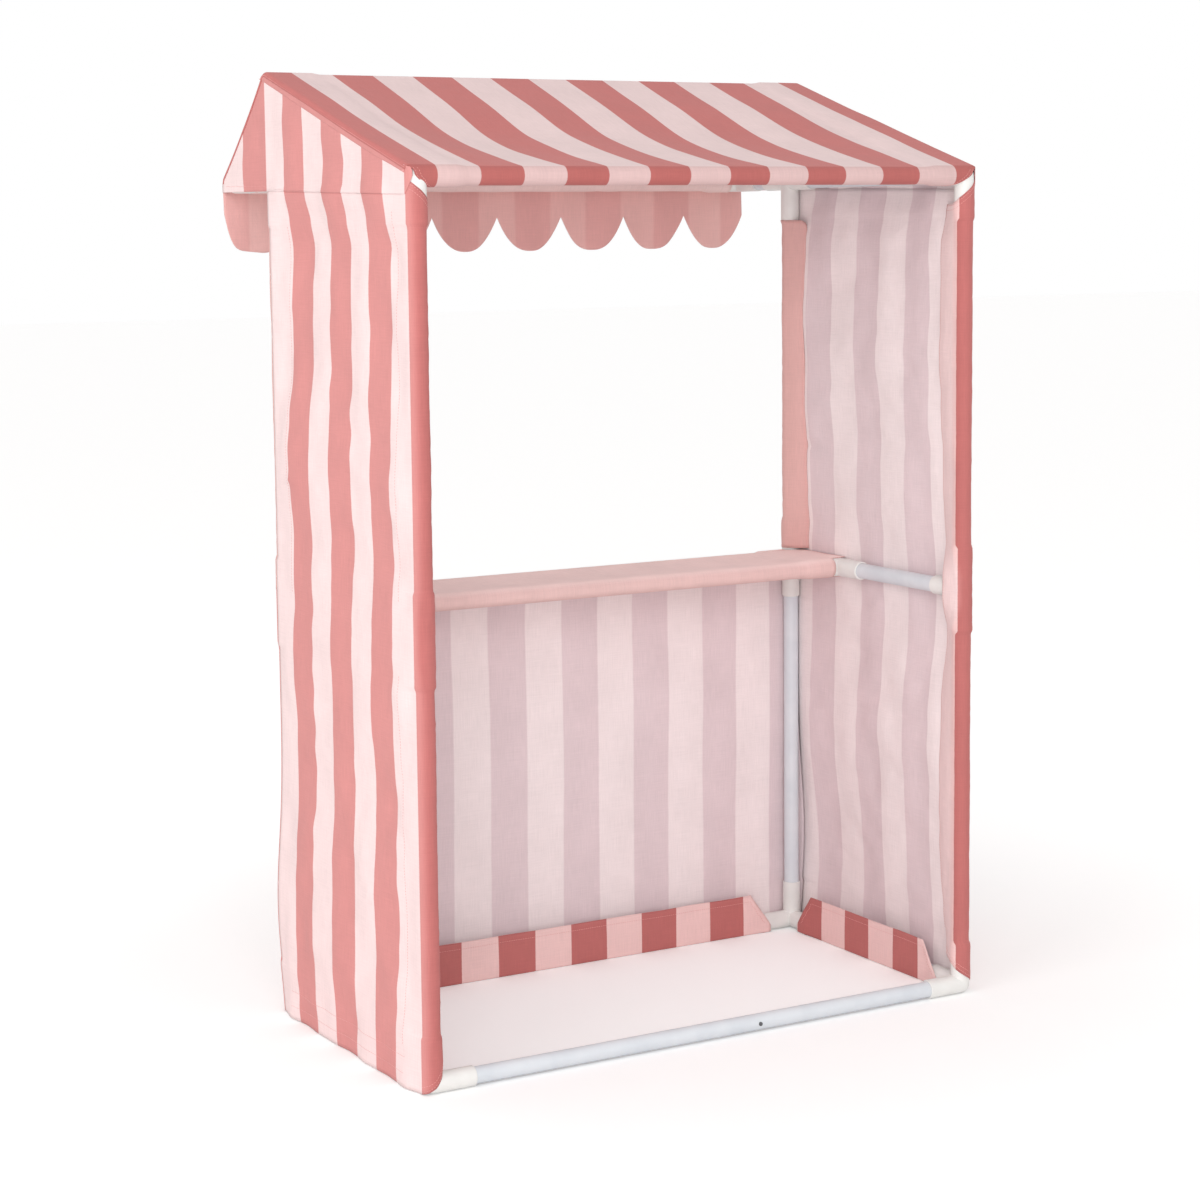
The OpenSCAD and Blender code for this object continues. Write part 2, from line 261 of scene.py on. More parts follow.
@dataclass(frozen=True)
class PrintedCanvas(Finish):
    """Plain-woven cotton and polyester canvas, printed with wide stripes: matt, with a soft fuzz.

    The deeper colours are painted shade, for parts that lie in shade and where two layers let no light
    come through from behind: the vertex attribute "backing" says how much of them each point gets.
    """

    dark: str = "DA9390"
    light: str = "F6DFDE"
    deep_dark: str = "BF716E"
    deep_light: str = "F2CDCA"
    # Softness of the print's edge, in millimetres: the ink bleeds a little along the threads
    edge_mm: float = 1.0
    roughness: float = 0.86
    sheen: float = 0.08
    specular: float = 0.2
    # Real thread spacing is about 0.5 mm; 1.6 mm is as fine as still shows
    thread_mm: float = 1.6
    weave_depth_mm: float = 0.10

    @classmethod
    def dyed(cls, name: str, colour: str, deep: str) -> "PrintedCanvas":
        """Returns a canvas without stripes: one colour, and a deeper one laid on as painted shade."""
        return cls(name, dark=colour, light=colour, deep_dark=deep, deep_light=deep)

    def make(self) -> bpy.types.Material:
        """Returns the material with its stripes, threads and slubs."""
        material, tree, shader = self.start()
        uv = add_node(tree, "ShaderNodeUVMap", {"uv_map": "cloth"}).outputs[0]
        axes = add_node(tree, "ShaderNodeSeparateXYZ", None, {0: uv})
        u, v = axes.outputs[0], axes.outputs[1]
        stripes = self.stripes(tree, uv, u)
        # Stripe colours as lit, and deeper ones that are painted shade; the vertex attribute mixes them
        unshaded, shaded_colours = (
            add_node(tree, "ShaderNodeMix", {"data_type": "RGBA"}, {
                0: stripes, 6: linear(dark), 7: linear(light),
            }).outputs[2]
            for dark, light in ((self.dark, self.light), (self.deep_dark, self.deep_light))
        )
        backing = add_node(tree, "ShaderNodeAttribute", {"attribute_name": "backing"}).outputs["Fac"]
        colour = add_node(tree, "ShaderNodeMix", {"data_type": "RGBA"}, {
            0: backing, 6: unshaded, 7: shaded_colours,
        }).outputs[2]
        slubs, picks, patches = (
            self.streaks(tree, uv, (1 / (wide * MM), 1 / (tall * MM), 1.0))
            for wide, tall in ((1.4, 34), (40, 1.5), (70, 90))
        )
        for field, low in ((slubs, 0.965), (picks, 0.975), (patches, 0.97)):
            shade = add_node(tree, "ShaderNodeMapRange", None, {
                0: field, 1: 0.3, 2: 0.7, 3: low, 4: 2 - low,
            })
            grey = add_node(tree, "ShaderNodeCombineColor", None, dict.fromkeys(range(3), shade.outputs[0]))
            colour = add_node(tree, "ShaderNodeMix", {"data_type": "RGBA", "blend_type": "MULTIPLY"}, {
                0: 1.0, 6: colour, 7: grey.outputs[0],
            }).outputs[2]
        tree.links.new(colour, shader.inputs["Base Color"])
        rough = add_node(tree, "ShaderNodeMapRange", None, {
            0: patches, 1: 0.3, 2: 0.7, 3: self.roughness - 0.06, 4: self.roughness + 0.06,
        })
        tree.links.new(rough.outputs[0], shader.inputs["Roughness"])
        self.relief(tree, shader, uv, u, v)
        return material

    def stripes(self, tree: bpy.types.NodeTree, uv: Any, u: Any) -> Any:
        """Makes the stripes across the cloth.

        Args:
            tree: The node tree.
            uv: The cloth's flat coordinates, in metres.
            u: The coordinate across the stripes.
        Returns:
            A socket that is 1 on the light stripes and 0 on the dark ones.
        """
        bleed = add_node(tree, "ShaderNodeTexNoise", None, {
            "Vector": uv, "Scale": 1 / (3 * MM), "Detail": 1.0,
        })
        drift = add_node(tree, "ShaderNodeMath", {"operation": "MULTIPLY_ADD"}, {
            0: bleed.outputs["Fac"], 1: 0.6 * MM, 2: u,
        })
        phase = add_node(tree, "ShaderNodeMath", {"operation": "MULTIPLY"}, {
            0: drift.outputs[0], 1: math.pi / STRIPE,
        })
        wave = add_node(tree, "ShaderNodeMath", {"operation": "COSINE"}, {0: phase.outputs[0]})
        edge = self.edge_mm * MM * math.pi / STRIPE / 2
        return add_node(tree, "ShaderNodeMapRange", {"interpolation_type": "SMOOTHSTEP"}, {
            0: wave.outputs[0], 1: -edge, 2: edge,
        }).outputs[0]

    def streaks(self, tree: bpy.types.NodeTree, uv: Any, scale: tuple[float, float, float]) -> Any:
        """Makes a noise that is drawn out along the cloth's threads.

        Args:
            tree: The node tree.
            uv: The cloth's flat coordinates, in metres.
            scale: Cells of the noise in a metre, across and along the stripes.
        Returns:
            The socket of the noise.
        """
        mapped = add_node(tree, "ShaderNodeVectorMath", {"operation": "MULTIPLY"}, {0: uv, 1: scale})
        noise = add_node(tree, "ShaderNodeTexNoise", None, {"Vector": mapped.outputs[0], "Scale": 1.0})
        return noise.outputs["Fac"]

    def relief(self, tree: bpy.types.NodeTree, shader: bpy.types.Node, uv: Any, u: Any, v: Any) -> None:
        """Raises the threads and the small creases left from folding.

        Args:
            tree: The node tree.
            shader: The shader that takes the normal.
            uv: The cloth's flat coordinates, in metres.
            u: The coordinate across the stripes.
            v: The coordinate along the stripes.
        """
        turns = 2 * math.pi / (self.thread_mm * MM)
        waves = []
        for axis in (u, v):
            angle = add_node(tree, "ShaderNodeMath", {"operation": "MULTIPLY"}, {0: axis, 1: turns})
            waves.append(add_node(tree, "ShaderNodeMath", {"operation": "SINE"}, {0: angle.outputs[0]}))
        weave = add_node(tree, "ShaderNodeMath", {"operation": "MULTIPLY"}, {
            0: waves[0].outputs[0], 1: waves[1].outputs[0],
        })
        threads = add_node(tree, "ShaderNodeBump", None, {
            "Strength": 0.5, "Distance": self.weave_depth_mm * MM, "Height": weave.outputs[0],
        })
        crush = add_node(tree, "ShaderNodeTexNoise", None, {
            "Vector": uv, "Scale": 1 / (28 * MM), "Detail": 3.0, "Roughness": 0.55, "Distortion": 0.6,
        })
        creases = add_node(tree, "ShaderNodeBump", None, {
            "Strength": 0.45, "Distance": 2.2 * MM, "Height": crush.outputs["Fac"],
            "Normal": threads.outputs[0],
        })
        tree.links.new(creases.outputs[0], shader.inputs["Normal"])


@dataclass(frozen=True)
class HardFinish(Finish):
    """A smooth hard surface with a fine grain and faint mottling."""

    colour: str = "EDEFF0"
    shade: str = "E2E5E8"
    grain_mm: float = 1.2
    grain_depth_mm: float = 0.03
    mottle_mm: float = 45.0
    roughness_spread: float = 0.08

    def make(self) -> bpy.types.Material:
        """Returns the material with its mottling and grain."""
        material, tree, shader = self.start()
        place = add_node(tree, "ShaderNodeTexCoord").outputs["Object"]
        mottle = add_node(tree, "ShaderNodeTexNoise", None, {
            "Vector": place, "Scale": 1 / (self.mottle_mm * MM), "Detail": 4.0,
        }).outputs["Fac"]
        spread = add_node(tree, "ShaderNodeMapRange", None, {0: mottle, 1: 0.35, 2: 0.65})
        colour = add_node(tree, "ShaderNodeMix", {"data_type": "RGBA"}, {
            0: spread.outputs[0], 6: linear(self.colour), 7: linear(self.shade),
        })
        tree.links.new(colour.outputs[2], shader.inputs["Base Color"])
        rough = add_node(tree, "ShaderNodeMapRange", None, {
            0: mottle, 1: 0.35, 2: 0.65, 3: self.roughness, 4: self.roughness + self.roughness_spread,
        })
        tree.links.new(rough.outputs[0], shader.inputs["Roughness"])
        grain = add_node(tree, "ShaderNodeTexNoise", None, {
            "Vector": place, "Scale": 1 / (self.grain_mm * MM), "Detail": 2.0,
        })
        bump = add_node(tree, "ShaderNodeBump", None, {
            "Strength": 0.6, "Distance": self.grain_depth_mm * MM, "Height": grain.outputs["Fac"],
        })
        tree.links.new(bump.outputs[0], shader.inputs["Normal"])
        return material


# Printed canvas, face side: clear stripes, matt
CANVAS_FACE = PrintedCanvas("printed_canvas_face")
# The roof's cloth, a copy of the canvas coloured for its own light: its deeper colours are painted shade, as
# little lamp light falls on the roof from above
CANVAS_ROOF = PrintedCanvas(
    "printed_canvas_roof", dark="DC8885", light="FDEFEF", deep_dark="B66864", deep_light="DABAB8",
)
# The same canvas from behind: the ink shows through weakly, so the stripes are pale and a little mauve
CANVAS_BACK = PrintedCanvas(
    "printed_canvas_back", dark="E6D3D6", light="F6E9E9", deep_dark="E6D3D6", deep_light="F6E9E9",
    edge_mm=3.0,
)
# Plain dyed canvas of the counter and the sleeves at the front
PINK_CANVAS = PrintedCanvas.dyed("dyed_pink_canvas", "DFB2AD", "DFB2AD")
# The same canvas on the counter: painted light keeps it paler over the top, and its deeper colour is painted
# shade on the parts rolled under
COUNTER_CANVAS = PrintedCanvas.dyed("pale_pink_canvas", "FDE2DE", "E6C2BE")
# Lining of the valance: thin, so that the stripes in front of it show through faintly
LINING = PrintedCanvas(
    "thin_pink_lining", dark="E3ADA9", light="EABBB6", deep_dark="E3ADA9", deep_light="EABBB6", edge_mm=6.0,
)
# Casing around the front rail: undyed side of the roof cloth
CASING = PrintedCanvas.dyed("pale_casing", "EBD0CC", "E6C6C2")
# Spun polyester thread: a slight shine, a little lighter than the dark stripes
THREAD = HardFinish("spun_polyester_thread", 0.55, 0.2, colour="E8A9A6", shade="DE9B98", grain_mm=0.4)
# Powder-coated steel tube: smooth white paint with a faint orange peel
POWDER_COAT = HardFinish(
    "powder_coated_steel", 0.34, colour="DEE2E7", shade="D6DBE1", grain_mm=2.2, grain_depth_mm=0.05,
)
# Injection-moulded polypropylene: warmer white, softer shine, fine spark-eroded grain
MOULDED = HardFinish(
    "moulded_polypropylene", 0.42, colour="EEEDEA", shade="E6E5E2", grain_mm=0.9, grain_depth_mm=0.04,
)
# Zinc-plated spring steel of the button
ZINC = HardFinish("zinc_plated_steel", 0.32, 0.0, 1.0, colour="7C7F82", shade="6A6D70", grain_mm=0.5)


# ---- The frame that the cloth hangs on ----


@dataclass(frozen=True)
class StallFrame:
    """Places of the frame's axes and sizes of its tubes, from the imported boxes."""

    post_x: float
    rear_y: float
    front_y: float
    over_y: float
    inner_y: float
    base_z: float
    counter_z: float
    eave_z: float
    ridge_z: float
    tube_r: float
    arm_r: float
    arm_len: float
    ease_arm: float = 0.3 * MM
    ease_tube: float = 0.6 * MM
    step: float = 7 * MM

    @property
    def joint_heights(self) -> tuple[float, float, float]:
        """Heights of the connectors on the posts."""
        return (self.base_z, self.counter_z, self.eave_z)

    @classmethod
    def measure(cls) -> "StallFrame":
        """Returns the frame, measured on its tubes and connectors."""
        rear_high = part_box("rear_bottom_tube")[1]
        side_low, side_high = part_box("side_bottom_tubes")
        tees_low, tees_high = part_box("rear_counter_tees")
        tube_r = (side_high.z - side_low.z) / 2
        post_x = side_high.x - tube_r

        def middle(node: str, axis: int) -> float:
            """Returns the middle of a node's box along one axis."""
            low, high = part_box(node)
            return (low[axis] + high[axis]) / 2

        return cls(
            post_x=post_x,
            rear_y=middle("rear_eave_tube", 1),
            front_y=middle("ridge_tube", 1),
            over_y=middle("overhang_front_tube", 1),
            inner_y=middle("counter_inner_tube", 1),
            base_z=rear_high.z - tube_r,
            counter_z=middle("counter_inner_tube", 2),
            eave_z=middle("rear_eave_tube", 2),
            ridge_z=middle("ridge_tube", 2),
            tube_r=tube_r,
            arm_r=tees_high.x - post_x,
            arm_len=(tees_high.z - tees_low.z) / 2,
        )

    @property
    def depth(self) -> float:
        """Distance between the rear and front posts."""
        return self.front_y - self.rear_y

    @property
    def over_arm(self) -> float:
        """Radius of the cloth's outer face where it passes over a connector."""
        return self.arm_r + self.ease_arm + CLOTH

    @property
    def over_tube(self) -> float:
        """Radius of the cloth's outer face where it passes over a tube."""
        return self.tube_r + self.ease_tube + CLOTH

    def radius(self, along: np.ndarray, joints: Sequence[float]) -> np.ndarray:
        """Radius of the cloth around a tube, wider over the arms of the connectors.

        Args:
            along: Places along the tube.
            joints: Places of the connectors' middles on the same axis.
        Returns:
            The radius of the cloth's outer face.
        """
        nearest = np.min([np.abs(along - joint) for joint in joints], axis=0)
        step = smooth((nearest - self.arm_len + 1 * MM) / self.step)
        return self.over_arm + (self.over_tube - self.over_arm) * step


# ---- Cloth ----


@dataclass
class ClothGrid:
    """A cut of cloth as a grid of points.

    Args:
        u: Flat coordinate across the stripes, for each row and column.
        v: Flat coordinate along the stripes.
        place: Where the outer face of the cloth is.
        backing: Share of the deeper colours, from 0 to 1: painted shade where the cloth lies in shade or in
            two layers.
        stripe_shift: Place across the stripes at which a light one has its middle.
    """

    u: np.ndarray
    v: np.ndarray
    place: np.ndarray
    backing: Optional[np.ndarray] = None
    stripe_shift: float = 0.0

    def on(self, side: Side) -> "ClothGrid":
        """Returns this cut of the left side where it lies on the given side."""
        if side is Side.LEFT:
            return self
        return replace(
            self,
            u=self.u[:, ::-1],
            v=self.v[:, ::-1],
            place=self.place[:, ::-1] * np.array([-1.0, 1.0, 1.0]),
            backing=None if self.backing is None else self.backing[:, ::-1],
        )

    def normals(self) -> np.ndarray:
        """Returns the unit normals of the outer face."""
        along = np.gradient(self.place, axis=1)
        up = np.gradient(self.place, axis=0)
        normal = np.cross(along, up)
        return normal / np.maximum(np.linalg.norm(normal, axis=-1, keepdims=True), 1e-12)

    def trace(self, corners: Sequence[tuple[float, float]]) -> Line:
        """Follows a line over the cloth.

        Args:
            corners: Flat coordinates of the line's corners.
        Returns:
            Close points along the line, and the normals there.
        """
        flat = np.array(corners)
        lengths = np.concatenate([[0], np.cumsum(np.linalg.norm(np.diff(flat, axis=0), axis=1))])
        steps = np.linspace(0, lengths[-1], max(int(lengths[-1] / (4 * MM)), 8))
        order = 1 if self.u[0, -1] > self.u[0, 0] else -1
        numbers = np.arange(self.u.shape[1])[::order]
        normals = self.normals()
        points, sides = [], []
        for u, v in zip(np.interp(steps, lengths, flat[:, 0]), np.interp(steps, lengths, flat[:, 1])):
            column = self.u.shape[1] // 2
            for _ in range(2):
                row = np.interp(v, self.v[:, int(column)], np.arange(self.v.shape[0]))
                r = min(int(row), self.u.shape[0] - 2)
                column = np.interp(u, self.u[r, ::order], numbers)
            c = min(int(column), self.u.shape[1] - 2)
            for field, found in ((self.place, points), (normals, sides)):
                low = field[r, c] * (1 - column + c) + field[r, c + 1] * (column - c)
                high = field[r + 1, c] * (1 - column + c) + field[r + 1, c + 1] * (column - c)
                found.append(low * (1 - row + r) + high * (row - r))
        return np.array(points), np.array(sides)

    def rim(self, edge: Edge, inset: float, span: tuple[float, float] = (0.0, 1.0)) -> Line:
        """Follows an edge of the cloth.

        Args:
            edge: The edge.
            inset: Distance of the line from the edge.
            span: Start and end of the line, as shares of the edge.
        Returns:
            Close points along the line, and the normals there.
        """
        sign = 1 if self.u[0, -1] > self.u[0, 0] else -1
        u, v = {
            Edge.TOP: (self.u[-1], self.v[-1] - inset),
            Edge.BOTTOM: (self.u[0], self.v[0] + inset),
            Edge.START: (self.u[:, 0] + sign * inset, self.v[:, 0]),
            Edge.END: (self.u[:, -1] - sign * inset, self.v[:, -1]),
        }[edge]
        first, last = int(span[0] * (len(u) - 1)), int(span[1] * (len(u) - 1))
        return self.trace(list(zip(u[first:last + 1], v[first:last + 1])))


def make_cloth(
    name: str,
    grid: ClothGrid,
    face: Finish,
    back: Finish,
    nodes: Sequence[str] = (),
    thickness: float = CLOTH,
    rim: Optional[Finish] = None,
) -> None:
    """Args:
        name: Name of the piece.
        grid: The cut and where it lies.
        face: Finish of the outer face.
        back: Finish of the inner face.
        nodes: Plain solids that it stands for.
        thickness: Thickness of the cloth.
        rim: Finish of the cut edges, where it isn't the outer face's.
    """
    rows, columns = grid.u.shape
    index = np.arange(rows * columns).reshape(rows, columns)
    quads = np.stack([index[:-1, :-1], index[:-1, 1:], index[1:, 1:], index[1:, :-1]], -1).reshape(-1, 4)
    piece = add_piece(name, grid.place, quads)
    mesh = piece.data
    layer = mesh.uv_layers.new(name="cloth")
    flat = np.stack([grid.u.ravel() - grid.stripe_shift, grid.v.ravel()], -1)
    layer.data.foreach_set("uv", flat[quads.ravel()].astype(np.float32).ravel())
    # Each point's share of the deeper colours, which are painted shade
    backing = mesh.attributes.new("backing", "FLOAT", "POINT")
    values = np.zeros(rows * columns) if grid.backing is None else grid.backing.ravel()
    backing.data.foreach_set("value", values.astype(np.float32))
    for finish in (face, back, rim or face):
        mesh.materials.append(finish.build())
    mesh.update()
    body = piece.modifiers.new("thickness", "SOLIDIFY")
    body.thickness = thickness
    body.offset = -1.0
    body.material_offset = 1
    body.material_offset_rim = 2
    body.use_even_offset = False
    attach(piece, BODY)
    if nodes:
        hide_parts(*nodes)


@dataclass
class Sewing:
    """Rows of stitches, gathered into one piece.

    Args:
        name: Name of the piece.
        pitch: Distance from one stitch to the next.
        stitch: Length of a stitch. Real thread is 0.4 mm thick: 0.7 mm is as fine as still shows.
        width: Width of the thread.
    """

    name: str
    pitch: float = 4.2 * MM
    stitch: float = 3.0 * MM
    width: float = 0.7 * MM

    def __post_init__(self) -> None:
        """Starts with no stitches."""
        self.points: list[np.ndarray] = []

    def run(self, line: Line, side: Side = Side.LEFT) -> None:
        """Sews along a line.

        Args:
            line: Points and normals along the line, on the left side of the stall.
            side: Side of the stall that the stitches are on.
        """
        path, normals = (field * np.array([-float(side), 1.0, 1.0]) for field in line)
        lengths = np.concatenate([[0], np.cumsum(np.linalg.norm(np.diff(path, axis=0), axis=1))])
        count = int(lengths[-1] / self.pitch)
        if count < 2:
            return
        starts = np.arange(count) * self.pitch + self.pitch / 4

        def at(distance: np.ndarray, field: np.ndarray) -> np.ndarray:
            """Returns a field at distances along the line."""
            return np.stack([np.interp(distance, lengths, field[:, k]) for k in range(3)], -1)

        normal = at(starts + self.stitch / 2, normals)
        first, last = at(starts, path), at(starts + self.stitch, path)
        ahead = last - first
        ahead /= np.maximum(np.linalg.norm(ahead, axis=1, keepdims=True), 1e-9)
        across = np.cross(normal, ahead) * self.width / 2 * -float(side)
        rings = []
        for share, height in ((0.0, 0.05), (0.5, 0.45), (1.0, 0.05)):
            middle = first + (last - first) * share
            low, high = normal * (-0.15 * MM), normal * (height * MM)
            rings += [
                middle - across + low, middle - across / 2 + high, middle + across / 2 + high,
                middle + across + low,
            ]
        self.points.append(np.stack(rings, 1))

    def make(self, slot: Slot) -> None:
        """Makes the stitches into one piece.

        Args:
            slot: The record's material slot; not used.
        """
        points = np.concatenate(self.points)
        faces = [
            [ring + k, ring + (k + 1) % 4, ring + 4 + (k + 1) % 4, ring + 4 + k]
            for ring in (0, 4) for k in range(4)
        ]
        faces += [[3, 2, 1, 0], [8, 9, 10, 11]]
        offsets = np.arange(len(points)) * 12
        quads = (offsets[:, None, None] + np.array(faces)).reshape(-1, 4)
        piece = add_piece(self.name, points, quads)
        piece.data.materials.append(THREAD.build())
        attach(piece, BODY)
        LOG.info("%s: %d stitches", self.name, len(points))


@dataclass(frozen=True)
class Fold:
    """A soft fold: a rise or hollow in a cloth that hangs.

    Args:
        across: Place of its middle across the stripes.
        height: Height of its middle.
        depth: How far it stands out, negative for a hollow.
        wide: Its reach across the stripes.
        tall: Its reach up and down.
        lean: How far its middle shifts across for each metre up.
    """

    across: float
    height: float
    depth: float
    wide: float
    tall: float
    lean: float = 0.0

    def rise(self, u: np.ndarray, z: np.ndarray) -> np.ndarray:
        """Returns how far the fold stands out at the points."""
        middle = self.across + self.lean * (z - self.height)
        return self.depth * bell(u - middle, self.wide) * bell(z - self.height, self.tall)


# How far the walls bow out, by height, in millimetres: taut at the tubes, slack between them
WALL_BOW = (
    (0, 6), (60, 6), (240, 4), (400, 0.5), (600, 3), (690, 1), (755, -2), (860, 2), (930, -1), (1010, -5),
    (1180, -5), (1220, 0), (1261, 6),
)
# Single folds in the walls: place, height, depth, reach across and up, and lean
WALL_FOLDS = (
    Fold(370 * MM, 170 * MM, 9 * MM, 120 * MM, 110 * MM),
    Fold(60 * MM, 210 * MM, -6 * MM, 70 * MM, 120 * MM),
    Fold(425 * MM, 838 * MM, 3.5 * MM, 45 * MM, 7 * MM, 1.0),
    Fold(140 * MM, 900 * MM, -3 * MM, 80 * MM, 60 * MM),
    Fold(110 * MM, 420 * MM, -3 * MM, 70 * MM, 90 * MM),
)


@dataclass
class PostPocket:
    """The pocket that a wall's cloth makes around a post: a sleeve, and a flap back to the wall.

    Args:
        stall: The frame.
        post_y: Axis of the post.
        inward: Direction of the flap along Y: 1 for a rear post, -1 for a front one.
        reach: Distance from the post's axis to the line where the flap is sewn to the wall.
        passes_tee: True where the flap passes inside the tube at the counter's height.
        seed: Number that picks the wrinkles.
        slit: Half the height over which it stays inside that tube.
        slit_fade: Height above and below in which it comes back to the wall.
        slit_y: Distance from the post's axis to the flap's edge, inside that tube.
        billow: How far the flap stands out between the sleeve and its seam.
    """

    stall: StallFrame
    post_y: float
    inward: int
    reach: float
    passes_tee: bool
    seed: int
    slit: float = 15 * MM
    slit_fade: float = 64 * MM
    slit_y: float = 28 * MM
    billow: float = 2 * MM

    @property
    def length(self) -> float:
        """Flat length of the sleeve and its flap, from the wall's face."""
        r = self.stall.over_arm
        return r * (2 * math.pi - 2 * math.atan(self.reach / r)) + self.reach

    def place(self, share: np.ndarray, z: np.ndarray, wall: np.ndarray) -> tuple[np.ndarray, np.ndarray]:
        """Places points of the pocket, for the left side.

        Args:
            share: Distance from the wall's face round the post, as a share of the whole pocket.
            z: Heights of the points.
            wall: Distance of the wall's outer face from the post's axis where the flap is sewn on.
        Returns:
            The points, and their distances over the cloth from the wall's face.
        """
        r = self.stall.radius(z, self.stall.joint_heights)
        # At the counter, the flap passes inside the tube that runs along the wall
        gap = 1 - smooth((np.abs(z - self.stall.counter_z) - self.slit) / self.slit_fade)
        gap = gap * float(self.passes_tee)
        end_x = -(wall - CLOTH - 0.5 * MM) * (1 - gap) + (self.stall.over_arm + 0.6 * MM) * gap
        end_y = self.reach * (1 - gap) + self.slit_y * gap
        far = np.hypot(end_x, end_y)
        turn = np.arctan2(end_y, end_x) - np.arccos(np.clip(r / far, -1, 1))
        arc = r * (math.pi + turn)
        line = np.sqrt(np.maximum(far ** 2 - r ** 2, 1e-12))
        s = share * (arc + line)
        angle = math.pi + np.minimum(s, arc) / r
        t = np.clip((s - arc) / line, 0, 1)
        flat = share * self.length
        wrinkle = ripples(flat, z, (0.4, 12, 9, self.seed), (0.5, 18, 60, self.seed + 1))
        rise = wrinkle * smooth(flat / (9 * MM)) + np.sin(np.pi * t) * self.billow
        x = (r + rise) * np.cos(angle) * (1 - t) + (end_x + rise * np.cos(angle)) * t
        y = (r + rise) * np.sin(angle) * (1 - t) + (end_y + rise * np.sin(angle)) * t
        return np.stack([-self.stall.post_x + x, self.post_y + self.inward * y, z], -1), s


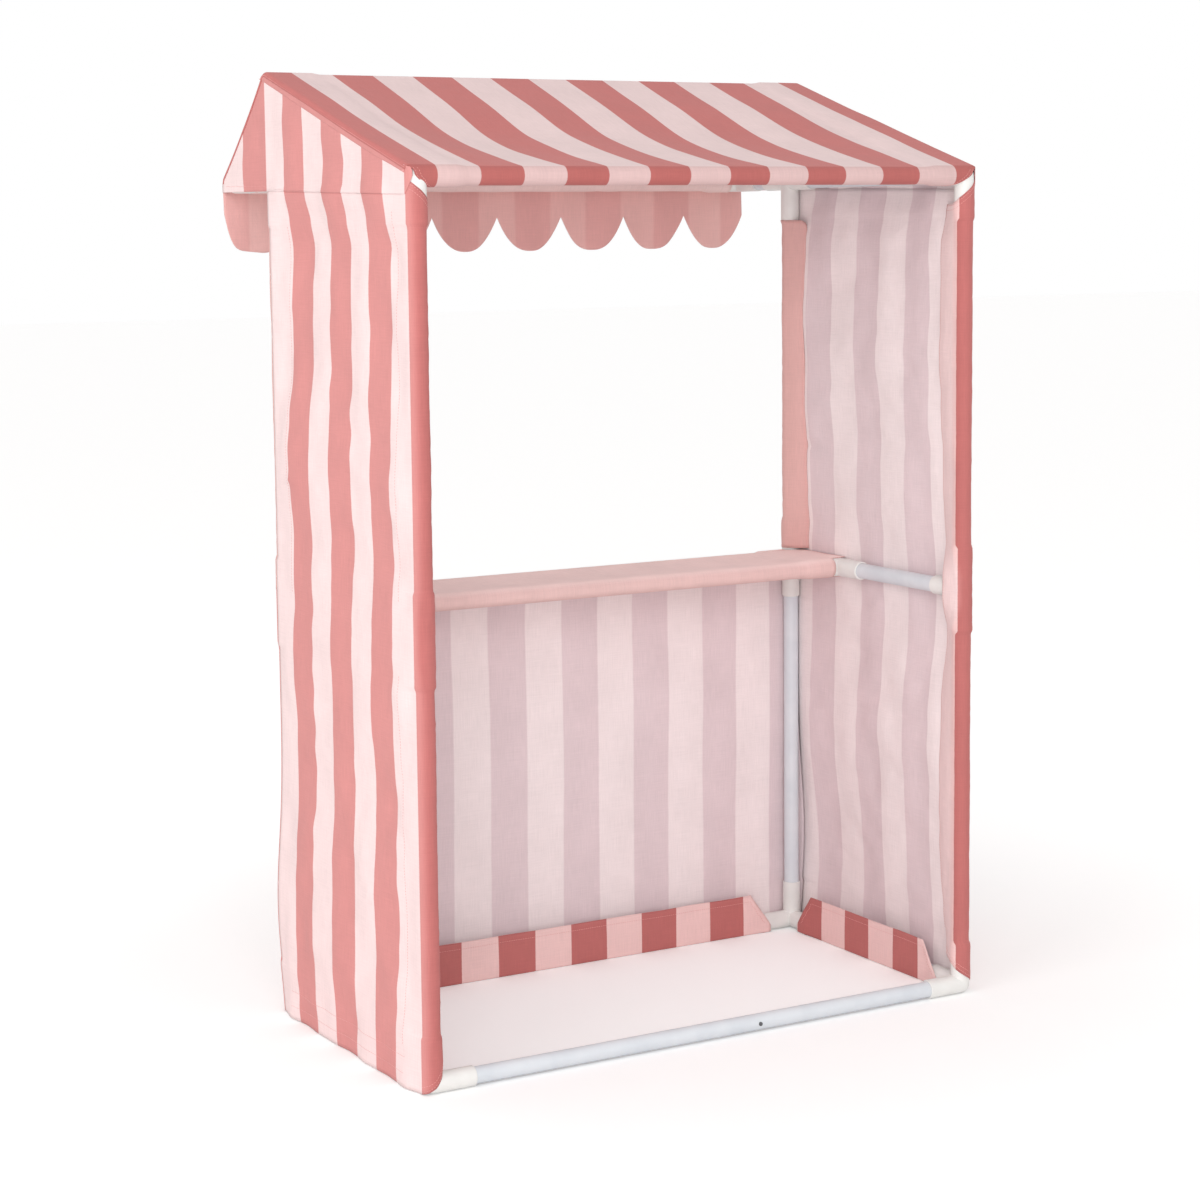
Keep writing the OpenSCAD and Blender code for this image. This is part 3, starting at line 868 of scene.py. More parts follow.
@dataclass
class WallCloth:
    """A side wall, in one piece with the sleeve of its rear post.

    Args:
        stall: The frame.
        side: Side of the stall.
        seam_z: Height of the seam to the gable.
        low_z: Height of the lower edge.
        tuck: How far the upper edge reaches behind the gable.
        forward: How far forward the right wall's stripes lie.
        slack_depth: How far the cloth stands off the lower end of the front post.
        slack_z: Height at which it does so most.
        slack_tall: Its reach up and down from there.
        columns: Columns of points between the posts.
    """

    stall: StallFrame
    side: Side
    seam_z: float
    low_z: float = 1.0 * MM
    tuck: float = 4.0 * MM
    forward: float = 25 * MM
    slack_depth: float = 13 * MM
    slack_z: float = 170 * MM
    slack_tall: float = 140 * MM
    columns: int = 70

    def __post_init__(self) -> None:
        """Sets up the pocket of the rear post."""
        seed = 60 + 7 * int(self.side)
        right = self.side is Side.RIGHT
        self.stripe_shift = STRIPE / 2 + (self.forward if right else 0.0)
        self.reach = (60 if right else 45) * MM
        # Height, reach up and down, and depth of the hollows, in millimetres
        self.hollows = ((950, 200, 9), (330, 170, 9)) if right else ((1190, 90, 8), (1010, 60, 3))
        self.pocket = PostPocket(self.stall, self.stall.rear_y, 1, self.reach, True, seed)

    def seam(self, u: np.ndarray) -> np.ndarray:
        """Returns the height of the seam, which rises a little towards the front."""
        return self.seam_z + np.interp(u / MM, (0, 472, 650), (-6, 5, 6)) * MM

    def face(self, u: np.ndarray, z: np.ndarray) -> np.ndarray:
        """Distance of the wall's outer face from the plane through the posts' axes.

        Args:
            u: Distance from the rear post.
            z: Height.
        Returns:
            The distance, outwards.
        """
        stall = self.stall
        seed = 40 + int(self.side)
        rise = profile(z, WALL_BOW) + sum(fold.rise(u, z) for fold in WALL_FOLDS)
        rise = rise + ripples(
            u, z, (3.6, 70, 85, seed), (1.62, 34, 30, seed + 10), (2.52, 48, 400, seed + 20),
        )
        for middle, tall, depth in self.hollows:
            rise = rise - depth * MM * bell(z - middle * MM, tall * MM)
        guard = bell(z - stall.counter_z, 26 * MM) + bell(z - stall.base_z, 22 * MM)
        rise = rise * (1 - guard) + np.maximum(rise, 0.2 * MM) * guard
        post = 46 * MM + 104 * MM * smooth((z - self.seam_z + 100 * MM) / (80 * MM))
        free = smooth(u / post) * smooth((stall.depth - u) / (46 * MM))
        at_post = stall.radius(z, stall.joint_heights)
        return at_post * (1 - free) + (stall.over_arm + rise) * free + self.slack(u, z) * (1 - free)

    def slack(self, u: np.ndarray, z: np.ndarray) -> np.ndarray:
        """Returns how far the cloth stands off the lower end of the front post."""
        near = smooth((u - self.stall.depth + 160 * MM) / (160 * MM))
        return self.slack_depth * bell(z - self.slack_z, self.slack_tall) * near

    def grid(self) -> ClothGrid:
        """Returns the cut, where it hangs on the left side."""
        stall = self.stall
        mouths = [h + s * stall.arm_len for h in stall.joint_heights for s in (-1, 1)]
        fine = [mouth + s * shift * MM for mouth in mouths for s in (-1, 1) for shift in (1, 4, 7)]
        fine = [h for h in fine if 20 * MM < h < self.seam_z - 20 * MM]
        z = np.unique(np.round(np.concatenate([np.linspace(self.low_z, self.seam_z, 176), fine]), 5))
        around = np.linspace(0, 1, 37)[1:] * self.pocket.length
        u = np.concatenate([np.linspace(stall.depth, 0, self.columns), -around])
        u, z = np.meshgrid(u, z)
        z = self.trimmed(u, z)
        sewn = self.face(np.full_like(z, self.reach), z)
        pocket, along = self.pocket.place(np.clip(-u / self.pocket.length, 0, 1), z, sewn)
        wall = np.stack([-stall.post_x - self.face(u, z), stall.rear_y + u, z], -1)
        place = np.where((u < 0)[..., None], pocket, wall)
        # Painted shade on the sleeve round the rear post; the flap, one layer again, gets little of it
        unshaded = smooth((self.reach - self.pocket.length - u + 10 * MM) / (20 * MM))
        backing = smooth(-u / (22 * MM)) * (1 - 0.8 * unshaded)
        return ClothGrid(np.where(u < 0, -along, u), z, place, backing, self.stripe_shift)

    def trimmed(self, u: np.ndarray, z: np.ndarray) -> np.ndarray:
        """Trims the upper and lower edges: the sleeve's are cut on a slant around the corners.

        Args:
            u: Distance from the rear post's axis, negative round the sleeve.
            z: Even heights between the wall's edges.
        Returns:
            The heights between the trimmed edges.
        """
        around = (-110, -62, -50, -38, -25, -12, 0)
        below_eave = (-43, -42, -39, -30, -19, -9, -4)
        above_floor = (52, 51, 46, 30, 12, 4, 1) if self.side is Side.LEFT else (52, 51, 48, 38, 29, 22, 16)
        upper = self.stall.eave_z + np.interp(u / MM, around, below_eave) * MM
        upper = np.where(u > 1 * MM, self.seam(u) + self.tuck, upper)
        lower = np.interp(u / MM, around + (24,), above_floor + (1,)) * MM
        fade_low, fade_high = 120 * MM, self.seam_z - 70 * MM
        share = np.clip((z - self.low_z) / (fade_low - self.low_z), 0, 1)
        trimmed = np.where(z < fade_low, lower + (fade_low - lower) * share, z)
        share = np.clip((z - fade_high) / (self.seam_z - fade_high), 0, 1)
        return np.where(z > fade_high, fade_high + (upper - fade_high) * share, trimmed)

    def make(self, sewing: Sewing) -> None:
        """Makes the wall, and sews its hems and the lines of its pockets.

        Args:
            sewing: Takes the stitches.
        """
        name = self.side.name.lower()
        stall, grid = self.stall, self.grid()
        make_cloth(
            f"wall_cloth_{name}", grid.on(self.side), CANVAS_FACE, CANVAS_BACK,
            [f"wall_{name}", f"rear_sleeve_{name}"],
        )
        front = stall.depth - 60 * MM
        mouth = stall.eave_z - stall.arm_len
        lines = [((front, stall.counter_z + 22 * MM), (front, mouth))]
        lines += [((self.reach, 62 * MM), (self.reach, stall.counter_z - 50 * MM))]
        lines += [((self.reach, stall.counter_z + 50 * MM), (self.reach, stall.eave_z - 44 * MM))]
        lines += [((40 * MM, h * MM), (stall.depth - 40 * MM, h * MM)) for h in (22, 45)]
        for corners in lines:
            sewing.run(grid.trace(corners), self.side)
        sleeve = (self.columns - 1) / (grid.u.shape[1] - 1)
        for inset in (3 * MM, 10 * MM):
            for edge in (Edge.TOP, Edge.BOTTOM):
                sewing.run(grid.rim(edge, inset, (sleeve, 1.0)), self.side)
        sewing.run(grid.rim(Edge.END, 3 * MM, (0.05, 0.95)), self.side)


@dataclass
class FrontSleeve:
    """The plain sleeve of a front post, from the counter up to the connector at the eaves.

    Args:
        stall: The frame.
        side: Side of the stall.
        wall: The wall that it is sewn to.
        low_z: Height of its lower edge.
        top_z: Height of its upper edge.
        reach: Distance from the post's axis to its seam.
        corner: Radius of the flap's upper corner.
    """

    stall: StallFrame
    side: Side
    wall: WallCloth
    low_z: float
    top_z: float
    reach: float = 34 * MM
    corner: float = 16 * MM

    def make(self, sewing: Sewing) -> None:
        """Makes the sleeve with its flap, whose upper corner is rounded.

        Args:
            sewing: Takes the stitches.
        """
        stall, name = self.stall, self.side.name.lower()
        pocket = PostPocket(stall, stall.front_y, -1, self.reach, False, 80 + int(self.side))
        share, z = np.meshgrid(np.linspace(1, 0, 37), np.linspace(self.low_z, self.top_z, 84))
        past = np.clip((share * pocket.length - pocket.length + self.corner) / self.corner, 0, 1)
        drop = self.corner * (1 - np.sqrt(1 - past ** 2))
        z = z - drop * smooth((z - self.top_z + 120 * MM) / (120 * MM))
        sewn = self.wall.face(np.full_like(z, stall.depth - self.reach), z)
        place, _ = pocket.place(share, z, sewn)
        grid = ClothGrid(share * pocket.length, z, place, np.zeros_like(z))
        make_cloth(
            f"front_sleeve_cloth_{name}", grid.on(self.side), PINK_CANVAS, PINK_CANVAS,
            [f"front_sleeve_{name}"],
        )
        for edge in (Edge.TOP, Edge.BOTTOM, Edge.START):
            sewing.run(grid.rim(edge, 4 * MM), self.side)


@dataclass
class HemFlap:
    """A hem: the cloth turned in under a bottom tube, with a flap that stands inside.

    Args:
        stall: The frame.
        name: Name of the piece.
        span: Distance between the posts' axes at its ends.
        top_z: Height of the flap's upper edge.
        inset: Distance of the flap's lower corners from the posts' axes.
        slant: How much further in its upper corners are.
        node: Node that it stands for.
        tube: Node that it is wrapped around; not used.
        shift: Place across the stripes at which a light one has its middle.
        bend: Radius of the bend from its underside to the flap.
        lean: How far the flap's upper edge leans in.
    """

    stall: StallFrame
    name: str
    span: float
    node: str
    tube: str
    shift: float
    top_z: float = 69 * MM
    inset: float = 46 * MM
    slant: float = 38 * MM
    bend: float = 3 * MM
    lean: float = 2.5 * MM

    def grid(self) -> ClothGrid:
        """Returns the cut along +X, with the tube's axis on X and the stall's inside at -Y."""
        stall, r, bend = self.stall, self.stall.over_arm, self.bend
        low_z = 0.1 * MM
        under = np.linspace(-r, r - bend, 9)
        angle = np.linspace(0, math.pi / 2, 6)[1:]
        rising = np.linspace(low_z + bend, self.top_z, 14)[1:]
        n = np.concatenate([under, r - bend + bend * np.sin(angle), np.full(len(rising), r)])
        z = np.concatenate([np.full(len(under), low_z), low_z + bend - bend * np.cos(angle), rising])
        z[0] = 0.9 * MM
        v = np.concatenate([[0], np.cumsum(np.hypot(np.diff(n), np.diff(z)))])
        strip = self.span / 2 - stall.arm_len - 1 * MM
        flap = self.span / 2 - self.inset
        half = np.where(n < r - 1 * MM, strip, flap - self.slant * np.clip((z - 14 * MM) / (55 * MM), 0, 1))
        share = np.linspace(-1, 1, max(int(self.span / (7 * MM)), 20))
        u = half[:, None] * share
        joints = (-self.span / 2, self.span / 2)
        close = (stall.over_arm - stall.radius(u, joints)) * (n > 0)[:, None]
        high = smooth((z - 30 * MM) / (40 * MM))[:, None]
        wave = ripples(u, z[:, None] + 0 * u, (2.2, 60, 90, len(self.name))) * high
        depth = n[:, None] - close * (1 - high) + wave - self.lean * high
        place = np.stack([u, -depth, np.broadcast_to(z[:, None], u.shape)], -1)
        # Painted shade over the whole hem: it takes the deeper colours everywhere
        return ClothGrid(u, np.broadcast_to(v[:, None], u.shape), place, np.ones_like(u), self.shift)

    def make(self, sewing: Sewing, centre: tuple[float, float], turn: float, side: Side = Side.LEFT) -> None:
        """Makes the flap and sews its edges.

        Args:
            sewing: Takes the stitches.
            centre: Middle of the tube, in X and Y, on the left side.
            turn: Angle that brings +X onto the tube's direction.
            side: Side of the stall.
        """
        grid = self.grid()
        c, s = math.cos(turn), math.sin(turn)
        x, y = grid.place[..., 0], grid.place[..., 1]
        grid.place = np.stack([centre[0] + c * x - s * y, centre[1] + s * x + c * y, grid.place[..., 2]], -1)
        make_cloth(
            self.name, grid.on(side), CANVAS_FACE, CANVAS_BACK,
            [self.node],
        )
        sewing.run(grid.rim(Edge.TOP, 11 * MM), side)
        for edge in (Edge.START, Edge.END):
            sewing.run(grid.rim(edge, 8 * MM, (0.62, 0.95)), side)


# How deep the rear slope sags, across the stall, in millimetres
ROOF_SAG = (
    (-483, 1), (-438, 3), (-371, 11), (-304, 19), (-236, 24), (-101, 19), (-34, 22), (34, 20), (101, 24),
    (236, 20), (304, 15), (371, 9), (438, 3), (483, 1),
)


@dataclass
class RoofCloth:
    """The roof cloth: wrapped round the rear eave tube, over the ridge and down to the front rail.

    Args:
        stall: The frame.
        round_edge: Radius of the bend at the roof's sides.
        lip: How far the cloth goes straight down below that bend.
    """

    stall: StallFrame
    round_edge: float = 6 * MM
    lip: float = 1.5 * MM

    def __post_init__(self) -> None:
        """Works out the three axes that the cloth bends around, and its slopes."""
        stall = self.stall
        self.eave = np.array([stall.rear_y, stall.eave_z])
        self.ridge = np.array([stall.front_y, stall.ridge_z])
        self.rail = np.array([stall.over_y, stall.eave_z])
        rise, run = self.ridge[1] - self.eave[1], self.ridge[0] - self.eave[0]
        self.rear_turn = math.pi / 2 + math.atan2(rise, run)
        self.front_turn = math.pi / 2 - math.atan2(rise, self.rail[0] - self.ridge[0])
        self.side_x = stall.post_x + stall.over_arm + 1.8 * MM

    def sag(self, x: np.ndarray, t: np.ndarray) -> np.ndarray:
        """How far the rear slope hangs below the straight line between its tubes.

        Args:
            x: Places across the stall.
            t: Shares of the way from the eave to the ridge.
        Returns:
            The sag, downwards.
        """
        tighter = 1 - 0.4 * smooth((t - 0.45) / 0.35)
        return profile(x, ROOF_SAG) * np.sin(math.pi * np.clip(t, 0, 1)) * tighter

    def section(self, x: np.ndarray, inset: Any = 0.0) -> tuple[np.ndarray, np.ndarray, np.ndarray]:
        """Follows the cloth from the inside of the eave wrap to the front rail.

        Args:
            x: Places across the stall, one row for each station along the cloth, or one for all.
            inset: Distance inwards from the cloth's outer face, given the same way.
        Returns:
            The points, the flat distance of each station, and the leg that it is on.
        """
        pi = math.pi
        legs = (
            (self.eave, self.eave, 2 * pi + math.radians(15), self.rear_turn, 28),
            (self.eave, self.ridge, self.rear_turn, self.rear_turn, 64),
            (self.ridge, self.ridge, self.rear_turn, self.front_turn, 10),
            (self.ridge, self.rail, self.front_turn, self.front_turn, 24),
            (self.rail, self.rail, self.front_turn, 0.0, 9),
        )
        stations = []
        start = 0.0
        for number, (first, last, turn, end, count) in enumerate(legs):
            length = np.linalg.norm(last - first) + self.stall.over_tube * abs(end - turn)
            for t in np.linspace(0, 1, count)[:None if number == len(legs) - 1 else -1]:
                centre = first + (last - first) * t
                stations.append((*centre, turn + (end - turn) * t, number, t, start + length * t))
            start += length
        y, z, turn, leg, t, flat = (np.array(column)[:, None] for column in zip(*stations))
        stall = self.stall
        r = stall.radius(x, (-stall.post_x, stall.post_x)) - inset
        seat = np.where(leg == 3, -4 * MM * np.sin(math.pi * t), 0.0)
        loose = np.where((leg == 1) | (leg == 3), np.sin(math.pi * t), 0.0)
        seat = seat + loose * ripples(x + 0 * flat, flat + 0 * x, (1.3, 60, 90, 11))
        down = np.where(leg == 1, self.sag(x, t), 0.0)
        place = np.stack([y + (r + seat) * np.cos(turn), z + (r + seat) * np.sin(turn) - down], -1)
        return place, flat, leg

    def half_widths(self, turn_share: np.ndarray, leg: np.ndarray) -> tuple[np.ndarray, np.ndarray]:
        """Half-widths of the cut on the left and right, at each station.

        Args:
            turn_share: How far the wrap still goes on round the eave tube, from 1 to 0.
            leg: The leg that each station is on.
        Returns:
            The two half-widths.
        """
        full = self.side_x - self.round_edge * (1 - math.pi / 2) + self.lip
        wrap = self.stall.post_x + np.interp(
            turn_share, (0, 0.08, 0.16, 0.27, 0.44, 0.61, 1.0), (16, 14, 9.5, 8, -5, -20, -25),
        ) * MM
        cut = np.interp(turn_share, (0.1, 0.6), (0, 17)) * MM
        return np.where(leg == 0, wrap, full), np.where(leg == 0, wrap - cut, full)

    def make(self, sewing: Sewing) -> None:
        """Makes the roof, and sews the slanted ends of the eave wrap.

        Args:
            sewing: Takes the stitches.
        """
        full = self.side_x - self.round_edge * (1 - math.pi / 2) + self.lip
        flat_part = (self.side_x - self.round_edge) / full
        share = np.concatenate([
            -np.linspace(1, flat_part, 8)[:-1], np.linspace(-flat_part, flat_part, 132),
            np.linspace(flat_part, 1, 8)[1:],
        ])
        _, flat, leg = self.section(np.zeros((1, 1)))
        last = flat[leg == 1].min()
        left, right = self.half_widths(np.clip(1 - flat / last, 0, 1), leg)
        u = np.where(share < 0, left, right) * share
        over = (np.abs(u) - self.side_x + self.round_edge) / self.round_edge
        bend = np.clip(over, 0, math.pi / 2)
        level = np.minimum(np.abs(u), self.side_x - self.round_edge)
        x = np.sign(u) * (level + self.round_edge * np.sin(bend))
        fall = self.round_edge * (1 - np.cos(bend) + np.maximum(over - math.pi / 2, 0))
        place, flat, leg = self.section(x, fall)
        # Painted shade: the eave wrap takes the deeper colours fully, the slopes 0.6 of them
        grid = ClothGrid(
            u, np.broadcast_to(flat, u.shape), np.concatenate([x[..., None], place], -1),
            np.broadcast_to(np.where(leg == 0, 1.0, 0.6), u.shape),
        )
        make_cloth(
            "roof_cloth", grid, CANVAS_ROOF, CANVAS_BACK,
            ["roof_rear_slope", "roof_eave_wrap", "roof_front_slope"],
        )
        for edge in (Edge.START, Edge.END):
            for inset in (3 * MM, 9 * MM):
                sewing.run(grid.rim(edge, inset, (0.0, 0.19)))
        sewing.run(grid.rim(Edge.BOTTOM, 6 * MM))

    def edge_line(self, inset: float) -> tuple[np.ndarray, np.ndarray]:
        """Follows the roof's side edge from the eave to the rail.

        Args:
            inset: Distance below the roof's face.
        Returns:
            The Y and the Z of the edge.
        """
        place, _, leg = self.section(np.full((1, 1), self.side_x), inset)
        place = place[(leg > 0)[:, 0], 0]
        return place[:, 0], place[:, 1]


@dataclass
class RoofBand:
    """The strip of roof cloth that is turned down over a gable along the rear slope."""

    stall: StallFrame
    side: Side
    roof: RoofCloth
    wide: float = 15 * MM
    wide_at_eave: float = 12 * MM

    def make(self) -> None:
        """Makes the strip: it tapers to the eave and ends in a point beyond the ridge."""
        roof, r = self.roof, self.stall.over_arm
        along = roof.ridge - roof.eave
        length = float(np.linalg.norm(along))
        along = along / length
        normal = np.array([-along[1], along[0]])
        bend = roof.rear_turn - roof.front_turn
        tangent = length + r * math.sin(bend)
        low = r - self.wide
        end = tangent + (r * math.cos(bend) - low) / math.tan(bend)
        at = np.concatenate([np.linspace(end, length, 20)[:-1], np.linspace(length, 0, 74)])
        past = np.clip(at - length, 0, None)
        arc = np.sqrt(np.maximum(r ** 2 - past ** 2, 0))
        fall = r * math.cos(bend) - (at - tangent) * math.tan(bend)
        top = np.where(at > tangent, fall, np.where(at > length, arc, r))
        width = self.wide_at_eave + (self.wide - self.wide_at_eave) * smooth(at / length / 0.25)
        bottom = np.where(at > length, low, r - width)
        sag = roof.sag(np.array(roof.side_x), at / length) * (at < length)
        share = np.linspace(0, 1, 9)[:, None]
        high = np.maximum(top - 4.5 * MM, bottom)
        n = bottom + (high - bottom) * share
        u = np.broadcast_to(at, n.shape)
        y = roof.eave[0] + at * along[0] + n * normal[0]
        z = roof.eave[1] + at * along[1] + n * normal[1] - sag
        out = -roof.side_x + 0.1 * MM + 0.5 * MM * (1 - share) ** 2 * smooth(at / (60 * MM))
        place = np.stack([np.broadcast_to(out, n.shape), y, z], -1)
        # The whole strip lies on the dark stripe at the roof's side
        grid = ClothGrid(n - n.mean() + STRIPE, u, place, np.zeros(n.shape))
        name = f"roof_band_cloth_{self.side.name.lower()}"
        make_cloth(
            name, grid.on(self.side), CANVAS_FACE, CANVAS_BACK,
        )


@dataclass
class GableCloth:
    """A gable, from the seam at the eaves up to the roof, with a free hem under the overhang.

    Args:
        stall: The frame.
        side: Side of the stall.
        roof: The roof cloth that it hangs from.
        wall: The wall below it.
        below_roof: Distance of its upper edge below the roof's face.
        raised: How much higher its upper edge is at the eave's elbow.
        front_share: Share of the flat distance past the front post: the stripes are wider there.
    """

    stall: StallFrame
    side: Side
    roof: RoofCloth
    wall: WallCloth
    below_roof: float = 5 * MM
    raised: float = 3 * MM
    front_share: float = 0.77

    def make(self, sewing: Sewing) -> None:
        """Makes the gable, with its soft waves, and sews its free hem.

        Args:
            sewing: Takes the stitches.
        """
        seam_z = self.wall.seam_z
        stall, name = self.stall, self.side.name.lower()
        u = np.linspace(stall.depth + stall.over_y - stall.front_y + stall.over_arm - 1 * MM, 0, 92)
        u = np.concatenate([u, -np.linspace(1.5 * MM, 15 * MM, 9)])
        edge_y, edge_z = self.roof.edge_line(self.below_roof)
        top = np.interp(stall.rear_y + u, edge_y, edge_z)
        # Behind the eave's elbow the cloth narrows to a point and goes round the corner
        past = np.clip(-u / stall.over_arm, 0, 1)
        round_top = stall.eave_z + stall.over_arm * np.sqrt(1 - past ** 2) - 1.5 * MM * (1 - past)
        top = np.where(u < 0, np.minimum(top, round_top), top)
        top = top + self.raised * bell(u, np.where(u < 0, 12, 4) * MM)
        low = self.wall.seam(u) + 27 * MM * past ** 1.4
        share = np.linspace(0, 1, 34)[:, None]
        z = low + (top - low) * share
        u = np.broadcast_to(u, z.shape)
        seed = 20 + int(self.side)
        wave = ripples(u, z, (3.2, 75, 70, seed), (1.6, 40, 200, seed + 5))
        loose = smooth((z - low) / (14 * MM))
        loose = loose + (1 - loose) * smooth((u - stall.depth - 8 * MM) / (50 * MM))
        held = smooth((top - z - 16 * MM) / (36 * MM)) * smooth(u / (50 * MM)) * loose
        held = held * smooth(np.abs(u - stall.depth) / (36 * MM))
        reach = np.clip(top - 18 * MM - low, 8 * MM, 48 * MM)
        bow = self.wall.face(u, np.full_like(z, seam_z)) - stall.over_arm
        bow = bow * (1 - smooth((z - low) / reach))
        out = stall.over_arm + 0.9 * MM + wave * held + bow
        turn = np.clip(-u / out, 0, 1.2)
        place = np.stack([
            -stall.post_x - out * np.cos(turn), stall.rear_y + np.maximum(u, 0) - out * np.sin(turn), z,
        ], -1)
        u = np.where(u > stall.depth, stall.depth + (u - stall.depth) * self.front_share, u)
        grid = ClothGrid(u, z, place, None, self.wall.stripe_shift)
        make_cloth(
            f"gable_cloth_{name}", grid.on(self.side), CANVAS_FACE, CANVAS_BACK,
            [f"gable_{name}"],
        )
        ends = np.array([stall.over_y - stall.front_y, 4 * MM])
        line = zip(stall.depth + ends * self.front_share, self.wall.seam(stall.depth + ends) + 8 * MM)
        sewing.run(grid.trace(list(line)), self.side)


@dataclass
class Valance:
    """The scalloped valance on the front rail: a striped face and a thin plain lining.

    Args:
        stall: The frame.
        drop: How far it hangs below the rail's axis.
        scallops: Number of scallops.
        cusp: Height of the cusps between them.
        power: How square a scallop is.
        end_power: How square the outer side of the last scallop at the left is.
        end_lift: How much higher that side hangs.
        thick: Thickness with the lining.
    """

    stall: StallFrame
    drop: float
    scallops: int = 8
    cusp: float = 56 * MM
    power: float = 2.5
    end_power: float = 7.0
    end_lift: float = 8 * MM
    thick: float = 1.4 * MM

    def make(self, sewing: Sewing) -> None:
        """Makes the valance, with its soft folds, and sews along its scallops.

        Args:
            sewing: Takes the stitches.
        """
        stall = self.stall
        half = stall.post_x + stall.over_arm
        x = np.linspace(half, -half, self.scallops * 26 + 1)
        pitch = 2 * half / self.scallops
        phase = np.abs(((x + half) / pitch) % 1 * 2 - 1)
        power = np.where(x < pitch / 2 - half, self.end_power, self.power)
        lifted = self.end_lift * smooth((pitch - half - x) / pitch)
        depth = self.drop - lifted - self.cusp * phase ** power
        share = np.linspace(1, 0, 26)[:, None]
        down = depth * share
        x = np.broadcast_to(x, down.shape)
        loose = (down / self.drop) ** 0.8
        fold = ripples(x, down, (5.5, 45, 400, 31), (3, 24, 120, 32)) - 2.5 * MM * phase ** 2
        y = stall.over_y + stall.radius(x, (-stall.post_x, stall.post_x)) + 0.7 * MM + fold * loose
        z = stall.eave_z + 1 * MM - down
        # Painted shade: the lined valance takes 0.4 of the deeper colours, on its face and on its cut edge
        grid = ClothGrid(x, -down, np.stack([x, y, z], -1), np.full(x.shape, 0.4))
        make_cloth(
            "valance_cloth", grid, CANVAS_FACE, LINING,
            ["valance"], self.thick, CASING,
        )
        sewing.run(grid.rim(Edge.BOTTOM, 5 * MM))


@dataclass
class RailCasing:
    """The pale strip that holds the front rail against the roof cloth.

    Args:
        stall: The frame.
        short: Distance of its ends from the posts' axes.
        first: Angle round the rail at which it starts, in degrees.
        last: Angle at which it ends.
    """

    stall: StallFrame
    short: float = 22 * MM
    first: float = 325.0
    last: float = 75.0

    def make(self) -> None:
        """Makes the casing around the rail's top, rear and underside."""
        stall = self.stall
        half = stall.post_x - self.short
        x = np.linspace(-half, half, 120)
        turn = np.radians(np.linspace(self.first, self.last, 26))[:, None]
        r = stall.radius(x, (-stall.post_x, stall.post_x))
        wrinkle = ripples(x + 0 * turn, turn * r, (0.4, 25, 12, 51))
        y = stall.over_y + (r + wrinkle) * np.cos(turn)
        z = stall.eave_z + (r + wrinkle) * np.sin(turn)
        x = np.broadcast_to(x, y.shape)
        v = np.broadcast_to(-turn * stall.over_tube, y.shape)
        grid = ClothGrid(x, v, np.stack([x, y, z], -1))
        make_cloth(
            "rail_casing_cloth", grid, CASING, CASING,
        )


@dataclass
class CounterCover:
    """The counter: a loop of plain cloth around its two tubes.

    Args:
        stall: The frame.
        short: Distance of its ends from the posts' axes, at the tubes.
        over: How far it reaches past them between the tubes.
        dip_over: How far its upper layer dips between the tubes.
        dip_under: How far its lower layer does.
    """

    stall: StallFrame
    short: float = 17 * MM
    over: float = 13 * MM
    dip_over: float = 4.5 * MM
    dip_under: float = 6 * MM

    def make(self, sewing: Sewing) -> None:
        """Makes the loop, which dips between the tubes, and sews the edges at its ends.

        Args:
            sewing: Takes the stitches.
        """
        stall = self.stall
        deep = stall.front_y - stall.inner_y
        half_turn = np.linspace(0, math.pi, 15)
        flat = np.linspace(0, 1, 22)[1:-1]
        right_angle = np.linspace(0, math.pi / 2, 8)
        # Each station: share of the way from the inner to the front tube, and angle round the tube
        front_low = [(1.0, -a) for a in right_angle]
        under = [(1 - t, -math.pi / 2) for t in flat]
        inner = [(0.0, -math.pi / 2 - a) for a in half_turn]
        over = [(t, -1.5 * math.pi) for t in flat]
        front_high = [(1.0, -1.5 * math.pi - a) for a in right_angle]
        share, turn = np.array(front_low + under + inner + over + front_high).T[..., None]
        y = share * deep
        at_tube = (y > deep - self.short) | ((share == 0) & (np.cos(turn) < -0.01))
        half = stall.post_x + np.where(at_tube, -self.short, self.over)
        x = half * np.linspace(-1, 1, 132)
        r = stall.radius(x, (-stall.post_x, stall.post_x))
        middle = smooth((stall.post_x - 40 * MM - np.abs(x)) / (90 * MM))
        dip = np.sin(math.pi * share) * np.where(turn < -math.pi, self.dip_over, self.dip_under) * middle
        ripple = ripples(x, y + turn * 20 * MM, (0.9, 60, 30, 71)) * np.sin(math.pi * share)
        place = np.stack([
            x, stall.inner_y + y + r * np.cos(turn), stall.counter_z + r * np.sin(turn) - dip + ripple,
        ], -1)
        steps = np.linalg.norm(np.diff(place[:, x.shape[1] // 2], axis=0), axis=1)
        v = np.broadcast_to(np.concatenate([[0], np.cumsum(steps)])[:, None], x.shape)
        # Painted light on the top, which keeps the paler colour; the rolled parts take the deeper one as
        # painted shade
        painted_light_top = smooth((-turn / math.pi - 1.1) / 0.3)
        grid = ClothGrid(x, v, place, np.broadcast_to(1 - painted_light_top, x.shape))
        make_cloth(
            "counter_cloth", grid, COUNTER_CANVAS, COUNTER_CANVAS,
            ["counter_cover"],
        )
        for edge in (Edge.START, Edge.END):
            sewing.run(grid.rim(edge, 5 * MM))


